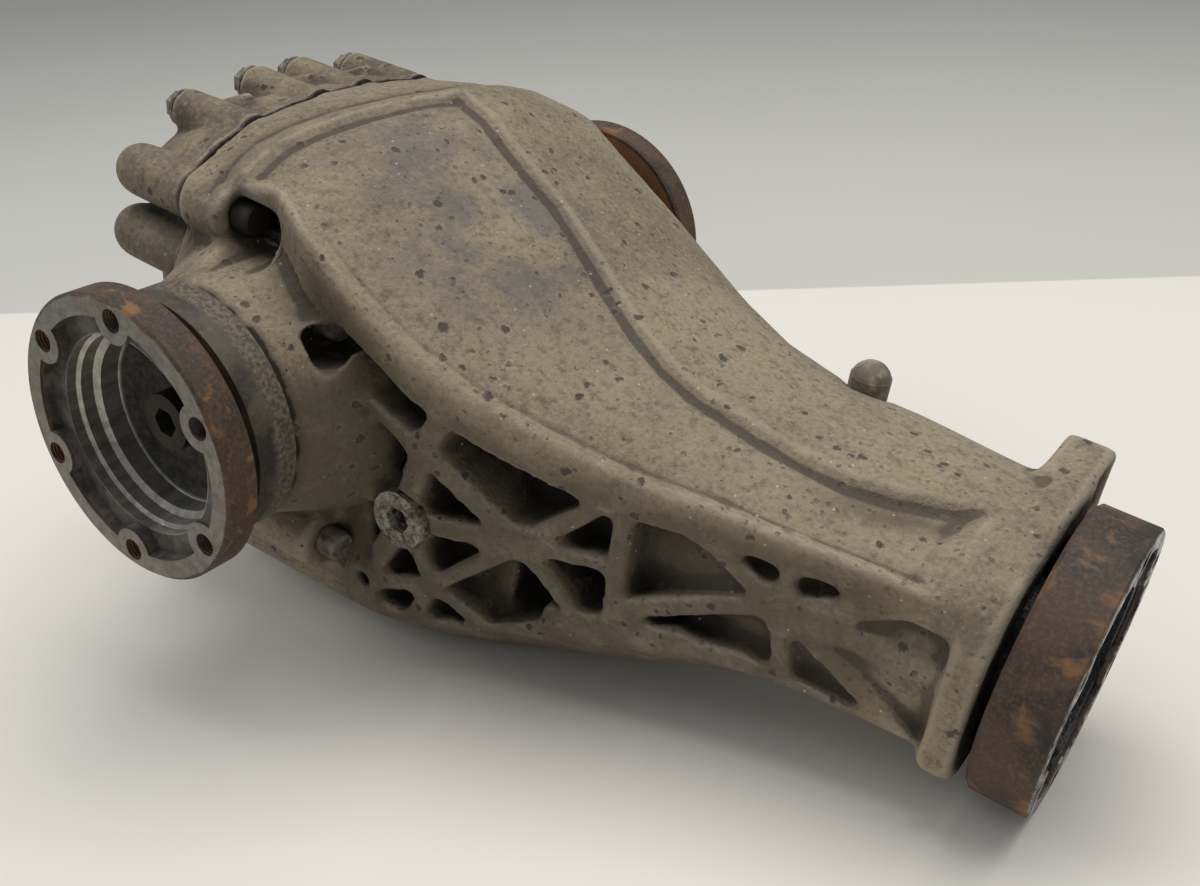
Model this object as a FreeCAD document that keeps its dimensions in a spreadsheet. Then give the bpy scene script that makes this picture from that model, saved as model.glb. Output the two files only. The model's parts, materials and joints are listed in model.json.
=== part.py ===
"""Rear final drive: a cast housing with a hypoid pinion, a ring gear and a bevel differential.

Millimetres.  X runs along the input shaft towards its flange, Y runs along the output shafts
with the left side at +Y, and Z is up.  The origin is where the output axis crosses the
vertical plane of the input shaft.  The input shaft lies below the output axis by `offset`.
"""
import FreeCAD, Part
import math
import os

import Sketcher

doc = FreeCAD.newDocument("FinalDrive")
sheet = doc.addObject("Spreadsheet::Sheet", "Sizes")

DRIVING_DIMENSIONS = {
    # output flanges
    "flange_face": 147.0,
    "flange_radius": 54.0,
    "flange_rim": 13.4,
    "flange_bolt_circle": 94.0,
    "flange_hole": 4.3,
    "cup_mouth": 38.0,
    "cup_bore": 34.0,
    "cup_floor": 117.0,
    "seal_journal": 23.0,
    "output_shaft": 14.0,
    # input flange and shaft
    "offset": 17.0,
    "input_face": 307.0,
    "input_rear": 285.0,
    "input_shaft": 14.0,
    "input_radius": 53.0,
    "pinion_journal": 18.0,
    "tail_journal": 15.0,
    # bearings and seals
    "carrier_journal": 24.0,
    "carrier_race": 40.0,
    "bearing_inner_end": 50.0,
    "bearing_width": 18.0,
    "head_bearing": 92.0,
    "head_race": 37.0,
    "tail_bearing": 226.0,
    "tail_race": 31.0,
    "seal_outside": 37.0,
    "seal_start": 100.0,
    "seal_width": 9.0,
    # differential
    "case_radius": 43.0,
    "case_bore": 36.0,
    "cross_pin": 8.0,
    "ring_radius": 80.0,
    "ring_inner": 55.0,
    "ring_back": 42.0,
    "ring_bolt_circle": 64.5,
    # casting
    "seam": 42.0,
    "gasket": 1.0,
    "cover_depth": 60.0,
    "chamber": 83.0,
    "chamber_half": 68.0,
    "neck_end": 112.0,
    "neck_radius": 44.0,
    "plate_front": 281.0,
    "plate_rear": 269.0,
    "tube_radius": 45.0,
    "pinion_seal": 34.0,
    "pinion_seal_start": 258.0,
    "shim": 1.5,
    "cover_bolt": 4.9,
}


class Dim:
    """A length with both its value and its spreadsheet formula."""

    def __init__(self, value, text):
        self.value = value
        self.text = text

    @staticmethod
    def of(thing):
        return thing if isinstance(thing, Dim) else Dim(float(thing), repr(float(thing)))

    def combine(self, other, sign, value):
        return Dim(value, "(%s %s %s)" % (self.text, sign, other.text))

    def __add__(self, other):
        other = Dim.of(other)
        return self.combine(other, "+", self.value + other.value)

    def __radd__(self, other):
        return Dim.of(other) + self

    def __sub__(self, other):
        other = Dim.of(other)
        return self.combine(other, "-", self.value - other.value)

    def __rsub__(self, other):
        return Dim.of(other) - self

    def __mul__(self, other):
        other = Dim.of(other)
        return self.combine(other, "*", self.value * other.value)

    def __rmul__(self, other):
        return Dim.of(other) * self

    def __truediv__(self, other):
        other = Dim.of(other)
        return self.combine(other, "/", self.value / other.value)

    def __neg__(self):
        return Dim.of(-1.0) * self


def fill_sheet():
    """Write every driving dimension to the sheet as a plain number with an alias."""
    sizes = {}
    for row, (alias, value) in enumerate(DRIVING_DIMENSIONS.items(), start=1):
        sheet.set("A%d" % row, alias)
        sheet.set("B%d" % row, str(value))
        sheet.setAlias("B%d" % row, alias)
        sizes[alias] = Dim(value, "Sizes." + alias)
    doc.recompute()
    return sizes


D = fill_sheet()
PIECES = []
SIDES = {"left": 1.0, "right": -1.0}
AXIS_TURNS = {
    "x": FreeCAD.Rotation(FreeCAD.Vector(0, 1, 0), 90),
    "y": FreeCAD.Rotation(FreeCAD.Vector(1, 0, 0), -90),
    "z": FreeCAD.Rotation(),
}


# ---------------------------------------------------------------- helpers

def keep(obj, label):
    """Make an object a sub-part: its label is the sub-part's name."""
    obj.Label = label
    PIECES.append(obj)
    return obj


def bind(obj, prop, size):
    size = Dim.of(size)
    obj.setExpression(prop, size.text)


def place(obj, start, along="z"):
    """Stand an object at start, with its own Z axis along a row axis."""
    start = [Dim.of(s) for s in start]
    point = FreeCAD.Vector(*[s.value for s in start])
    obj.Placement = FreeCAD.Placement(point, AXIS_TURNS[along])
    for letter, size in zip("xyz", start):
        if "Sizes." in size.text:
            obj.setExpression(".Placement.Base." + letter, size.text)


def cylinder(radius, length, start, along):
    obj = doc.addObject("Part::Cylinder", "Cylinder")
    bind(obj, "Radius", radius)
    bind(obj, "Height", length)
    place(obj, start, along)
    return obj


def cone(radius_start, radius_end, length, start, along):
    obj = doc.addObject("Part::Cone", "Cone")
    bind(obj, "Radius1", radius_start)
    bind(obj, "Radius2", radius_end)
    bind(obj, "Height", length)
    place(obj, start, along)
    return obj


def box(low, high):
    low = [Dim.of(v) for v in low]
    high = [Dim.of(v) for v in high]
    obj = doc.addObject("Part::Box", "Box")
    for prop, a, b in zip(("Length", "Width", "Height"), low, high):
        bind(obj, prop, b - a)
    place(obj, low)
    return obj


def sphere(radius, centre):
    obj = doc.addObject("Part::Sphere", "Sphere")
    bind(obj, "Radius", radius)
    place(obj, centre)
    return obj


def hexagon(across_flats, length, start, along):
    obj = doc.addObject("Part::Prism", "Prism")
    obj.Polygon = 6
    bind(obj, "Circumradius", Dim.of(across_flats) / math.sqrt(3.0))
    bind(obj, "Height", length)
    place(obj, start, along)
    return obj


def fuse(*objs):
    if len(objs) == 1:
        return objs[0]
    obj = doc.addObject("Part::MultiFuse", "Fuse")
    obj.Shapes = list(objs)
    return obj


def group(*objs):
    obj = doc.addObject("Part::Compound", "Group")
    obj.Links = list(objs)
    return obj


def cut(base, *tools):
    obj = doc.addObject("Part::Cut", "Cut")
    obj.Base = base
    obj.Tool = fuse(*tools)
    return obj


def common(*objs):
    obj = doc.addObject("Part::MultiCommon", "Common")
    obj.Shapes = list(objs)
    return obj


def shaped(shape, name="Shape"):
    obj = doc.addObject("Part::Feature", name)
    obj.Shape = shape
    return obj


def turned(profile, axis, side=1.0):
    """A turned body: profile is a closed outline of (radius, station) along X or Y.

    Stations on Y are multiplied by side, so that one profile serves the left and the right.
    """
    body = doc.addObject("PartDesign::Body", "Body")
    sketch = body.newObject("Sketcher::SketchObject", "Profile")
    plane = [f for f in body.Origin.OriginFeatures if f.Role == "XY_Plane"][0]
    sketch.AttachmentSupport = (plane, [""])
    sketch.MapMode = "FlatFace"
    corners = []
    for radius, station in profile:
        radius = Dim.of(radius)
        station = Dim.of(station)
        if axis == "y":
            corners.append((radius, station if side > 0 else -station))
        else:
            corners.append((station, radius))
    points = [FreeCAD.Vector(a.value, b.value, 0) for a, b in corners]
    count = len(points)
    sketch.addGeometry([Part.LineSegment(points[i], points[(i + 1) % count])
                        for i in range(count)])
    for i in range(count):
        sketch.addConstraint(Sketcher.Constraint("Coincident", i, 2, (i + 1) % count, 1))
    for i, (a, b) in enumerate(corners):
        for kind, size in (("DistanceX", a), ("DistanceY", b)):
            index = sketch.addConstraint(Sketcher.Constraint(kind, -1, 1, i, 1, size.value))
            if "Sizes." in size.text:
                sketch.setExpression("Constraints[%d]" % index, size.text)
    turn = body.newObject("PartDesign::Revolution", "Turn")
    turn.Profile = sketch
    turn.ReferenceAxis = (sketch, ["V_Axis" if axis == "y" else "H_Axis"])
    turn.Angle = 360
    body.Tip = turn
    if axis == "x":
        body.setExpression(".Placement.Base.z", "-Sizes.offset")
    return body


def ring(inner, outer, start, end):
    """The outline of a plain ring, as radius and station."""
    return [(inner, start), (outer, start), (outer, end), (inner, end)]


def polar(radius, angle):
    """The two coordinates across an axis, for a point on a circle around it."""
    return radius * math.cos(angle), radius * math.sin(angle)


def circle_angles(count, first=0.0):
    return [first + 2 * math.pi * i / count for i in range(count)]


# ---------------------------------------------------------------- casting outline

# Stations along the input shaft: x, half width and height of the upper edge, crown height,
# half width and height of the lower edge, and height of the keel.
CASTING_STATIONS = [
    (-42.0, 77.0, 66.0, 87.0, 70.0, -102.0, -119.0),
    (-30.0, 77.0, 68.0, 90.0, 70.0, -102.0, -119.0),
    (5.0, 80.0, 77.0, 96.0, 69.0, -101.0, -118.0),
    (25.0, 88.0, 71.0, 92.0, 68.0, -101.0, -118.0),
    (49.0, 89.0, 54.0, 80.0, 67.0, -99.0, -117.0),
    (75.0, 88.0, 39.0, 68.0, 65.0, -92.0, -112.0),
    (100.0, 82.0, 29.0, 55.0, 62.0, -82.0, -104.0),
    (125.0, 73.0, 20.0, 46.0, 59.0, -70.0, -94.0),
    (152.0, 64.0, 13.0, 38.5, 56.0, -60.0, -82.0),
    (185.0, 55.0, 13.0, 33.0, 51.0, -50.0, -66.0),
    (215.0, 53.0, 16.0, 31.0, 48.0, -45.0, -57.0),
    (245.0, 49.0, 16.0, 30.0, 46.0, -43.0, -53.0),
    (275.0, 47.0, 15.0, 29.0, 45.0, -42.0, -51.0),
]
CROWN_STEPS = 5
EDGE_DEPTH = 13.0


def casting_section(station):
    """A closed section across the casting: a domed top, straight sides and a rounded keel."""
    x, edge_y, edge_z, crown, low_y, low_z, keel = station
    right = []
    for i in range(CROWN_STEPS + 1):
        angle = math.pi / 2 * i / CROWN_STEPS
        right.append((edge_y * math.sin(angle) ** 0.9,
                      edge_z + (crown - edge_z) * math.cos(angle) ** 1.15))
    right.append((edge_y - 1.5, edge_z - EDGE_DEPTH))
    right.append((low_y, low_z))
    right.append((low_y * 0.72, keel + (low_z - keel) * 0.18))
    right.append((0.0, keel))
    outline = right + [(-y, z) for y, z in reversed(right[1:-1])]
    points = [FreeCAD.Vector(x, y, z) for y, z in outline]
    return Part.makePolygon(points + points[:1])


def prism(outline, y_from, y_to):
    """A prism across the casting from an outline of (x, z) points."""
    points = [FreeCAD.Vector(x, y_from, z) for x, z in outline]
    face = Part.Face(Part.makePolygon(points + points[:1]))
    return face.extrude(FreeCAD.Vector(0, y_to - y_from, 0))


def rib(start, end, width_start, width_end, y_from, y_to):
    """A web between two (x, z) points, wider at one end where it meets its node."""
    along = FreeCAD.Vector(end[0] - start[0], 0, end[1] - start[1]).normalize()
    across = FreeCAD.Vector(-along.z, 0, along.x)
    outline = []
    for point, width, sign, reach in ((start, width_start, 1, -1.0), (end, width_end, 1, 1.0),
                                      (end, width_end, -1, 1.0), (start, width_start, -1, -1.0)):
        outline.append((point[0] + across.x * width / 2 * sign + along.x * reach,
                        point[1] + across.z * width / 2 * sign + along.z * reach))
    return prism(outline, y_from, y_to)


# Nodes of the web on each side of the casting, as (x, z).
WEB_A = (78.0, 2.0)
WEB_B = (116.0, -27.0)
WEB_C = (211.0, -13.0)
PLUG_SEAT = (65.0, -37.0)
SMALL_BOSS = (40.0, -84.0)
RIBS = [
    (WEB_A, (93.0, 30.0), 9.0, 8.0),
    (WEB_A, (41.0, 18.0), 9.0, 6.0),
    (WEB_A, PLUG_SEAT, 9.0, 12.0),
    (WEB_A, WEB_B, 10.0, 10.0),
    (WEB_B, (151.0, 8.0), 9.0, 6.0),
    (WEB_B, (150.0, -23.0), 9.0, 6.0),
    (WEB_B, (136.0, -54.0), 9.0, 6.0),
    (WEB_B, (76.0, -68.0), 9.0, 7.0),
    (WEB_B, PLUG_SEAT, 9.0, 12.0),
    ((154.0, 12.0), (151.0, -56.0), 7.0, 7.0),
    (WEB_C, (168.0, 8.0), 10.0, 6.0),
    (WEB_C, (214.0, 12.0), 8.0, 6.0),
    (WEB_C, (274.0, 17.0), 11.0, 5.0),
    (WEB_C, (276.0, -13.0), 9.0, 7.0),
    (WEB_C, (269.0, -48.0), 9.0, 8.0),
    (WEB_C, (218.0, -46.0), 9.0, 8.0),
    (WEB_C, (150.0, -44.0), 9.0, 8.0),
    ((40.0, 34.0), (37.0, -30.0), 8.0, 8.0),
    ((37.0, -30.0), (25.0, -60.0), 8.0, 9.0),
    (PLUG_SEAT, (37.0, -30.0), 12.0, 6.0),
    (PLUG_SEAT, SMALL_BOSS, 12.0, 9.0),
    (PLUG_SEAT, (76.0, -68.0), 12.0, 7.0),
    (SMALL_BOSS, (76.0, -68.0), 9.0, 7.0),
    ((76.0, -68.0), (104.0, -84.0), 7.0, 9.0),
    ((76.0, -68.0), (62.0, -98.0), 7.0, 8.0),
]
CHANNEL = [
    (38.0, 40.0), (50.0, 38.0), (62.0, 31.0), (75.0, 24.0), (95.0, 16.0), (111.0, 10.0),
    (137.0, 3.0), (165.0, 0.0), (197.0, 2.0), (232.0, 4.5), (270.0, 3.0), (270.0, -44.0),
    (240.0, -41.0), (200.0, -40.0), (152.0, -50.0), (120.0, -66.0), (92.0, -82.0),
    (62.0, -91.0), (34.0, -92.0), (22.0, -78.0), (30.0, -50.0), (38.0, -20.0),
]
CHANNEL_FLOOR = 30.0
CHAMBER_WALL = 51.0
CHAMBER_WALL_END = 104.0


# ---------------------------------------------------------------- housing

COVER_BOSSES = [
    # y, z, radius, length behind the seam, whether the bolt comes from the front
    (75.0, 33.0, 11.5, 46.0, True),
    (74.0, 59.0, 10.5, 43.0, True),
    (75.0, -67.0, 11.5, 46.0, True),
    (46.0, 76.0, 8.5, 43.0, False),
    (12.0, 80.0, 8.5, 42.0, False),
    (52.0, -105.0, 8.5, 40.0, False),
    (17.0, -111.0, 8.5, 40.0, False),
]
FRONT_BOLT_SEAT = 27.0
BOLT_HEAD_ROOM = 7.4
EAR_DEPTH = 19.0
HIGH_BOLT_SEAT = -19.0
HIGH_BOLT_Z = 59.0
BOLT_TIP = -32.0
NECK_ROOT = 66.0
CAP_START = 56.0
CAP_WIDTH = 11.0
CAP_BOLT_STATION = 61.2
CAP_BOLT_HEIGHTS = (-47.0, 47.0)


def both_sides(entries):
    """Repeat entries that start with y on both sides of the casting."""
    return [(side * entry[0],) + tuple(entry[1:]) for side in (1.0, -1.0) for entry in entries]


def seam_outline():
    """The flat outline shared by the housing, the gasket and the cover."""
    return casting_section(CASTING_STATIONS[0])


def casting_body():
    """The outer casting with its side channels cut and their webs put back."""
    sections = [casting_section(station) for station in CASTING_STATIONS]
    envelope = Part.makeLoft(sections, True, True)
    solid = envelope
    webs = []
    for side in (1.0, -1.0):
        far = side * 110.0
        solid = solid.cut(prism(CHANNEL, side * CHANNEL_FLOOR, far))
        for start, end, width_start, width_end in RIBS:
            webs.append(rib(start, end, width_start, width_end, side * CHANNEL_FLOOR, far))
        for node, radius in ((WEB_A, 8.0), (WEB_B, 9.5), (WEB_C, 9.5)):
            base = FreeCAD.Vector(node[0], side * CHANNEL_FLOOR, node[1])
            webs.append(Part.makeCylinder(radius, 80.0, base, FreeCAD.Vector(0, side, 0)))
        sump = [(122.0, -58.0), (136.0, -52.0), (176.0, -42.0), (196.0, -44.0), (200.0, -62.0),
                (192.0, -76.0), (176.0, -80.0), (150.0, -88.0), (122.0, -97.0)]
        webs.append(prism(sump, side * CHANNEL_FLOOR, side * 58.0))
    webs = webs[0].multiFuse(webs[1:])
    solid = solid.fuse(webs.common(envelope))
    wall_outline = [(30.0, 45.0), (60.0, 38.0), (CHAMBER_WALL_END, 20.0),
                    (CHAMBER_WALL_END, -78.0), (60.0, -98.0), (20.0, -98.0), (20.0, -60.0)]
    walls = prism(wall_outline, -CHAMBER_WALL, CHAMBER_WALL).common(envelope)
    return solid.fuse(walls).removeSplitter()


def nose_plate():
    """The flat plate at the nose, with the mounting ear on the left."""
    outline = [(-46.0, 16.0), (-36.0, 24.0), (8.0, 30.0), (38.0, 31.0), (58.0, 31.0), (64.0, 29.0),
               (64.0, 8.0), (54.0, 2.0), (50.0, -10.0), (50.0, -36.0), (38.0, -56.0),
               (-36.0, -58.0), (-50.0, -46.0), (-51.0, 4.0)]
    points = [FreeCAD.Vector(D["plate_rear"].value, y, z) for y, z in outline]
    face = Part.Face(Part.makePolygon(points + points[:1]))
    return face.extrude(FreeCAD.Vector(D["plate_front"].value - D["plate_rear"].value, 0, 0))


def chamber_cavity():
    """The room for the differential, with the wide side at the ring gear."""
    depth = D["seam"] + 1.0
    wide = cylinder(D["chamber"], 40.0, (0, 8.0, 0), "y")
    heads = cylinder(D["chamber"] - 7.0, 10.0, (0, 48.0, 0), "y")
    narrow = cylinder(62.0, D["chamber_half"], (0, 10.0 - D["chamber_half"], 0), "y")
    rear = box((-depth, -D["chamber_half"], -92.0), (4.0, D["chamber_half"], 58.0))
    sump = box((-depth, -50.0, -110.0), (24.0, 50.0, -80.0))
    return fuse(wide, heads, narrow, rear, sump)


STRUT_START = 57.5
STRUT_END = 68.0


def bearing_saddle(side):
    """Half of a carrier bearing's seat, open to the rear where its cap closes it."""
    start = D["bearing_inner_end"] if side > 0 else -D["bearing_inner_end"] - D["bearing_width"]
    block = cylinder(D["carrier_race"] + 13.0, D["bearing_width"] + D["shim"],
                     (0, start if side > 0 else start - D["shim"], 0), "y")
    front_half = box((0.25, -90.0, -70.0), (70.0, 90.0, 70.0))
    near = STRUT_START if side > 0 else -STRUT_END
    far = STRUT_END if side > 0 else -STRUT_START
    strut_low = box((16.0, near, -86.0), (44.0, far, -36.0))
    strut_high = box((16.0, near, 36.0), (40.0, far, 60.0))
    return fuse(common(block, front_half), strut_low, strut_high)


def main_housing():
    body = shaped(casting_body(), "CastingBody")
    plate = shaped(nose_plate(), "NosePlate")
    axis_z = -D["offset"]
    tube = cylinder(D["tube_radius"], D["plate_rear"] - 80.0, (80.0, 0, axis_z), "x")
    ear = box((D["plate_front"] - EAR_DEPTH, 30.0, 4.0), (D["plate_front"], 64.0, 31.0))
    parts = [body, plate, tube, ear]
    for side in (1.0, -1.0):
        length = D["neck_end"] - NECK_ROOT
        if side > 0:
            neck = cone(62.0, D["neck_radius"], length, (0, NECK_ROOT, 0), "y")
        else:
            neck = cone(D["neck_radius"], 62.0, length, (0, -D["neck_end"], 0), "y")
        parts.append(common(neck, box((-D["seam"], -120.0, -80.0), (80.0, 120.0, 80.0))))
        parts.append(cylinder(13.0, 23.0, (PLUG_SEAT[0], 48.0 if side > 0 else -71.0, PLUG_SEAT[1]),
                              "y"))
        parts.append(cylinder(8.5, 22.0, (SMALL_BOSS[0], 48.0 if side > 0 else -70.0,
                                          SMALL_BOSS[1]), "y"))
    for y, z, radius, _, from_front in both_sides(COVER_BOSSES):
        reach = FRONT_BOLT_SEAT - 1.0 if from_front and z != HIGH_BOLT_Z else -18.0
        parts.append(cylinder(radius + (2.0 if from_front else 0.0), D["seam"] + reach,
                              (-D["seam"], y, z), "x"))
    solid = fuse(*parts)

    bores = [chamber_cavity()]
    head_shoulder = D["head_bearing"] + D["bearing_width"] + D["shim"]
    bores.append(cylinder(33.0, D["tail_bearing"] - 6.0 - head_shoulder, (head_shoulder, 0, axis_z), "x"))
    bores.append(cylinder(D["head_race"], head_shoulder - 50.0, (50.0, 0, axis_z), "x"))
    bores.append(cylinder(26.0, 10.0, (D["tail_bearing"] - 8.0, 0, axis_z), "x"))
    bores.append(cylinder(D["tail_race"], 50.0, (D["tail_bearing"], 0, axis_z), "x"))
    bores.append(cylinder(D["pinion_seal"], 30.0, (D["pinion_seal_start"], 0, axis_z), "x"))
    bores.append(box((D["plate_front"] - EAR_DEPTH + 4.0, 40.0, 8.0), (290.0, 59.5, 27.0)))
    for side in (1.0, -1.0):
        neck_start = 66.0 if side > 0 else -D["neck_end"] - 1.0
        bores.append(cylinder(30.0, D["neck_end"] - 65.0, (0, neck_start, 0), "y"))
        seal_start = D["seal_start"] if side > 0 else -D["neck_end"] - 1.0
        bores.append(cylinder(D["seal_outside"], D["neck_end"] + 1.0 - D["seal_start"],
                              (0, seal_start, 0), "y"))
    bores.append(cylinder(8.8, 14.0, (BREATHER[0], BREATHER[1], 20.5), "z"))
    for y, z, _, _, from_front in both_sides(COVER_BOSSES):
        if from_front and z != HIGH_BOLT_Z:
            bores.append(cylinder(8.5, 20.0, (FRONT_BOLT_SEAT - 1.0, y, z), "x"))
            outside = 95.0 if y > 0 else -95.0
            bores.append(box((FRONT_BOLT_SEAT - 1.0, min(y, outside), z - 8.5),
                             (FRONT_BOLT_SEAT + 19.0, max(y, outside), z + 5.0)))
    for side in (1.0, -1.0):
        high_y = side * 74.0
        bores.append(cylinder(9.0, 24.0, (HIGH_BOLT_SEAT, high_y, HIGH_BOLT_Z), "x"))
        bores.append(box((HIGH_BOLT_SEAT, min(high_y, side * 95.0), HIGH_BOLT_Z - 9.0),
                         (HIGH_BOLT_SEAT + 24.0, max(high_y, side * 95.0), HIGH_BOLT_Z + 4.0)))
    bores.append(cylinder(13.6, 20.0, (PLUG_SEAT[0], -91.0, PLUG_SEAT[1]), "y"))
    for y, z, _, _, from_front in both_sides(COVER_BOSSES):
        depth = 90.0 if from_front and z != HIGH_BOLT_Z else 24.0 if from_front else 12.0
        bores.append(cylinder(D["cover_bolt"] + 0.2, depth, (-D["seam"] - 1.0, y, z), "x"))
    solid = cut(solid, *bores)

    saddles = []
    for side in (1.0, -1.0):
        saddles.append(bearing_saddle(side))
    solid = fuse(solid, *saddles)
    seat_half = D["bearing_inner_end"] + D["bearing_width"] + D["shim"]
    seat = cylinder(D["carrier_race"], 2 * seat_half, (0, -seat_half, 0), "y")
    holes = [seat]
    holes.append(cylinder(8.0, 22.0, (PLUG_SEAT[0], -75.0, PLUG_SEAT[1]), "y"))
    holes.append(cylinder(7.0, 20.0, (DRAIN[0], 0, DRAIN[1] - 6.0), "z"))
    holes.append(cylinder(11.0, 5.0, (DRAIN[0], 0, DRAIN[1] - 5.0), "z"))
    holes.append(cylinder(4.1, 20.0, (BREATHER[0], BREATHER[1], 4.0), "z"))
    for side in (1.0, -1.0):
        for z in CAP_BOLT_HEIGHTS:
            holes.append(cylinder(4.1, 18.0, (-1.0, side * CAP_BOLT_STATION, z), "x"))
    for y, z in DOWELS:
        holes.append(cylinder(DOWEL_RADIUS + 0.1, 5.0, (-D["seam"] - 0.5, y, z), "x"))
    holes.append(cylinder(3.4, 16.0, (SMALL_BOSS[0], -71.0, SMALL_BOSS[1]), "y"))
    holes.append(cylinder(3.4, 16.0, (SMALL_BOSS[0], 55.0, SMALL_BOSS[1]), "y"))
    for y, z, _, _, from_front in both_sides(COVER_BOSSES):
        if from_front and z != HIGH_BOLT_Z:
            holes.append(cylinder(BOLT_HEAD_ROOM, 20.0, (FRONT_BOLT_SEAT - 1.0, y, z), "x"))
    return keep(cut(solid, *holes), "main_housing")


# ---------------------------------------------------------------- rear cover and its fasteners

COVER_OUTSIDE = [(0.0, 1.0), (17.0, 0.97), (38.0, 0.88), (50.0, 0.76), (58.0, 0.54)]
COVER_INSIDE = [(-0.5, 0.93, 0.84), (12.0, 0.93, 0.84), (17.0, 0.91, 0.83), (37.0, 0.80, 0.76),
                (46.0, 0.68, 0.66), (52.0, 0.46, 0.46)]
COVER_CENTRE = -10.0
DOWELS = ((34.0, -113.6), (-34.0, -113.6))
DOWEL_RADIUS = 2.0


def cover_section(depth, width_scale, height_scale):
    """The seam outline moved back by depth and shrunk towards the cover's centre."""
    outline = [v.Point for v in seam_outline().OrderedVertexes]
    x = -D["seam"].value - D["gasket"].value - depth
    points = [FreeCAD.Vector(x, p.y * width_scale,
                             COVER_CENTRE + (p.z - COVER_CENTRE) * height_scale) for p in outline]
    return Part.makePolygon(points + points[:1])


def rear_cover():
    outside = Part.makeLoft([cover_section(d, k, k) for d, k in COVER_OUTSIDE], True, True)
    dome = Part.makeLoft([cover_section(d, k * 1.05, k * 1.05) for d, k in COVER_OUTSIDE[1:]],
                         True, True)
    plates = [Part.makeBox(60.0, 5.0, 220.0, FreeCAD.Vector(-102.0, y - 2.5, -120.0))
              for y in (-34.0, 0.0, 34.0)]
    plates.append(Part.makeBox(60.0, 160.0, 5.0, FreeCAD.Vector(-102.0, -80.0, -12.5)))
    webs = plates[0].multiFuse(plates[1:]).common(dome)
    shell = shaped(outside.fuse(webs), "CoverShell")
    start = D["seam"] + D["gasket"]
    parts = [shell]
    for y, z, radius, length, from_front in both_sides(COVER_BOSSES):
        straight = length - (radius if from_front else 3.0)
        parts.append(cylinder(radius, straight, (-start - straight, y, z), "x"))
        if from_front:
            parts.append(sphere(radius, (-start - straight, y, z)))
    room = Part.makeLoft([cover_section(*entry) for entry in COVER_INSIDE], True, True)
    room = shaped(room, "CoverRoom")
    holes = [room]
    for y, z, _, length, from_front in both_sides(COVER_BOSSES):
        depth = 30.0 if from_front else length + 5.0
        holes.append(cylinder(D["cover_bolt"] + 0.2, depth, (-start - depth, y, z), "x"))
        if not from_front:
            holes.append(cylinder(8.6, 30.0, (-start - (length - 3.0) - 30.0, y, z), "x"))
    for y, z in DOWELS:
        holes.append(cylinder(DOWEL_RADIUS + 0.1, 5.0, (-start - 4.5, y, z), "x"))
    return keep(cut(fuse(*parts), *holes), "rear_cover")


def cover_gasket():
    through = FreeCAD.Vector(D["gasket"].value, 0, 0)
    whole = Part.Face(cover_section(0.0, 1.0, 1.0)).extrude(through)
    window = Part.Face(cover_section(0.0, *COVER_INSIDE[0][1:])).extrude(through)
    sheet_shape = whole.cut(window)
    pads = [cylinder(radius, D["gasket"], (-D["seam"] - D["gasket"], y, z), "x")
            for y, z, radius, _, _ in both_sides(COVER_BOSSES)]
    blank = fuse(shaped(sheet_shape, "GasketBlank"), *pads)
    holes = [cylinder(D["cover_bolt"] + 0.2, 3.0, (-D["seam"] - 2.0, y, z), "x")
             for y, z, _, _, _ in both_sides(COVER_BOSSES)]
    holes += [cylinder(DOWEL_RADIUS + 0.1, 3.0, (-D["seam"] - 2.0, y, z), "x")
              for y, z in DOWELS]
    clear_of_caps = CAP_START + CAP_WIDTH + 1.0
    holes.append(cylinder(D["carrier_race"] + 14.0, 2 * clear_of_caps, (0, -clear_of_caps, 0), "y"))
    return keep(cut(blank, *holes), "cover_gasket")


def rear_bolts():
    """Hexagon bolts that enter the cover from the rear."""
    bolts = []
    for y, z, _, length, from_front in both_sides(COVER_BOSSES):
        if from_front:
            continue
        end = -D["seam"] - D["gasket"] - (length - 3.0)
        bolts.append(fuse(hexagon(10.0, 6.0, (end - 6.0, y, z), "x"),
                          cylinder(7.6, 1.5, (end - 1.5, y, z), "x"),
                          cylinder(D["cover_bolt"], BOLT_TIP - end, (end, y, z), "x")))
    return keep(group(*bolts), "rear_cover_bolts")


def front_bolts():
    """Domed bolts that pass through the housing's long bosses into the cover's blind ones."""
    bolts = []
    for y, z, _, _, from_front in both_sides(COVER_BOSSES):
        if not from_front:
            continue
        end = Dim.of(FRONT_BOLT_SEAT - 1.0 if z != HIGH_BOLT_Z else HIGH_BOLT_SEAT)
        reach = D["seam"] + D["gasket"] + 26.0 + end
        bolts.append(fuse(cylinder(D["cover_bolt"], reach, (end - reach, y, z), "x"),
                          cylinder(6.4, 5.0, (end, y, z), "x"),
                          common(sphere(6.4, (end + 5.0, y, z)),
                                 box((end + 4.0, y - 9.0, z - 9.0), (end + 8.5, y + 9.0, z + 9.0)))))
    return keep(group(*bolts), "front_cover_bolts")


def cover_dowels():
    pins = [cylinder(DOWEL_RADIUS, 9.0, (-D["seam"] - D["gasket"] - 4.5, y, z), "x") for y, z in DOWELS]
    return keep(group(*pins), "cover_dowels")


# ---------------------------------------------------------------- plugs and breather

def fill_plug():
    x, z = PLUG_SEAT
    head = fuse(cylinder(12.0, 4.5, (x, -77.0, z), "y"), cylinder(7.9, 20.0, (x, -73.0, z), "y"))
    keep(cut(head, hexagon(10.0, 9.0, (x, -78.0, z), "y")), "fill_plug")
    keep(turned_at(11.6, 8.0, 1.5, (x, -72.5, z), "y"), "fill_plug_washer")


def turned_at(outer, inner, length, start, along):
    """A plain washer."""
    return cut(cylinder(outer, length, start, along), cylinder(inner, length, start, along))


DRAIN = (52.0, -116.0)


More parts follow.
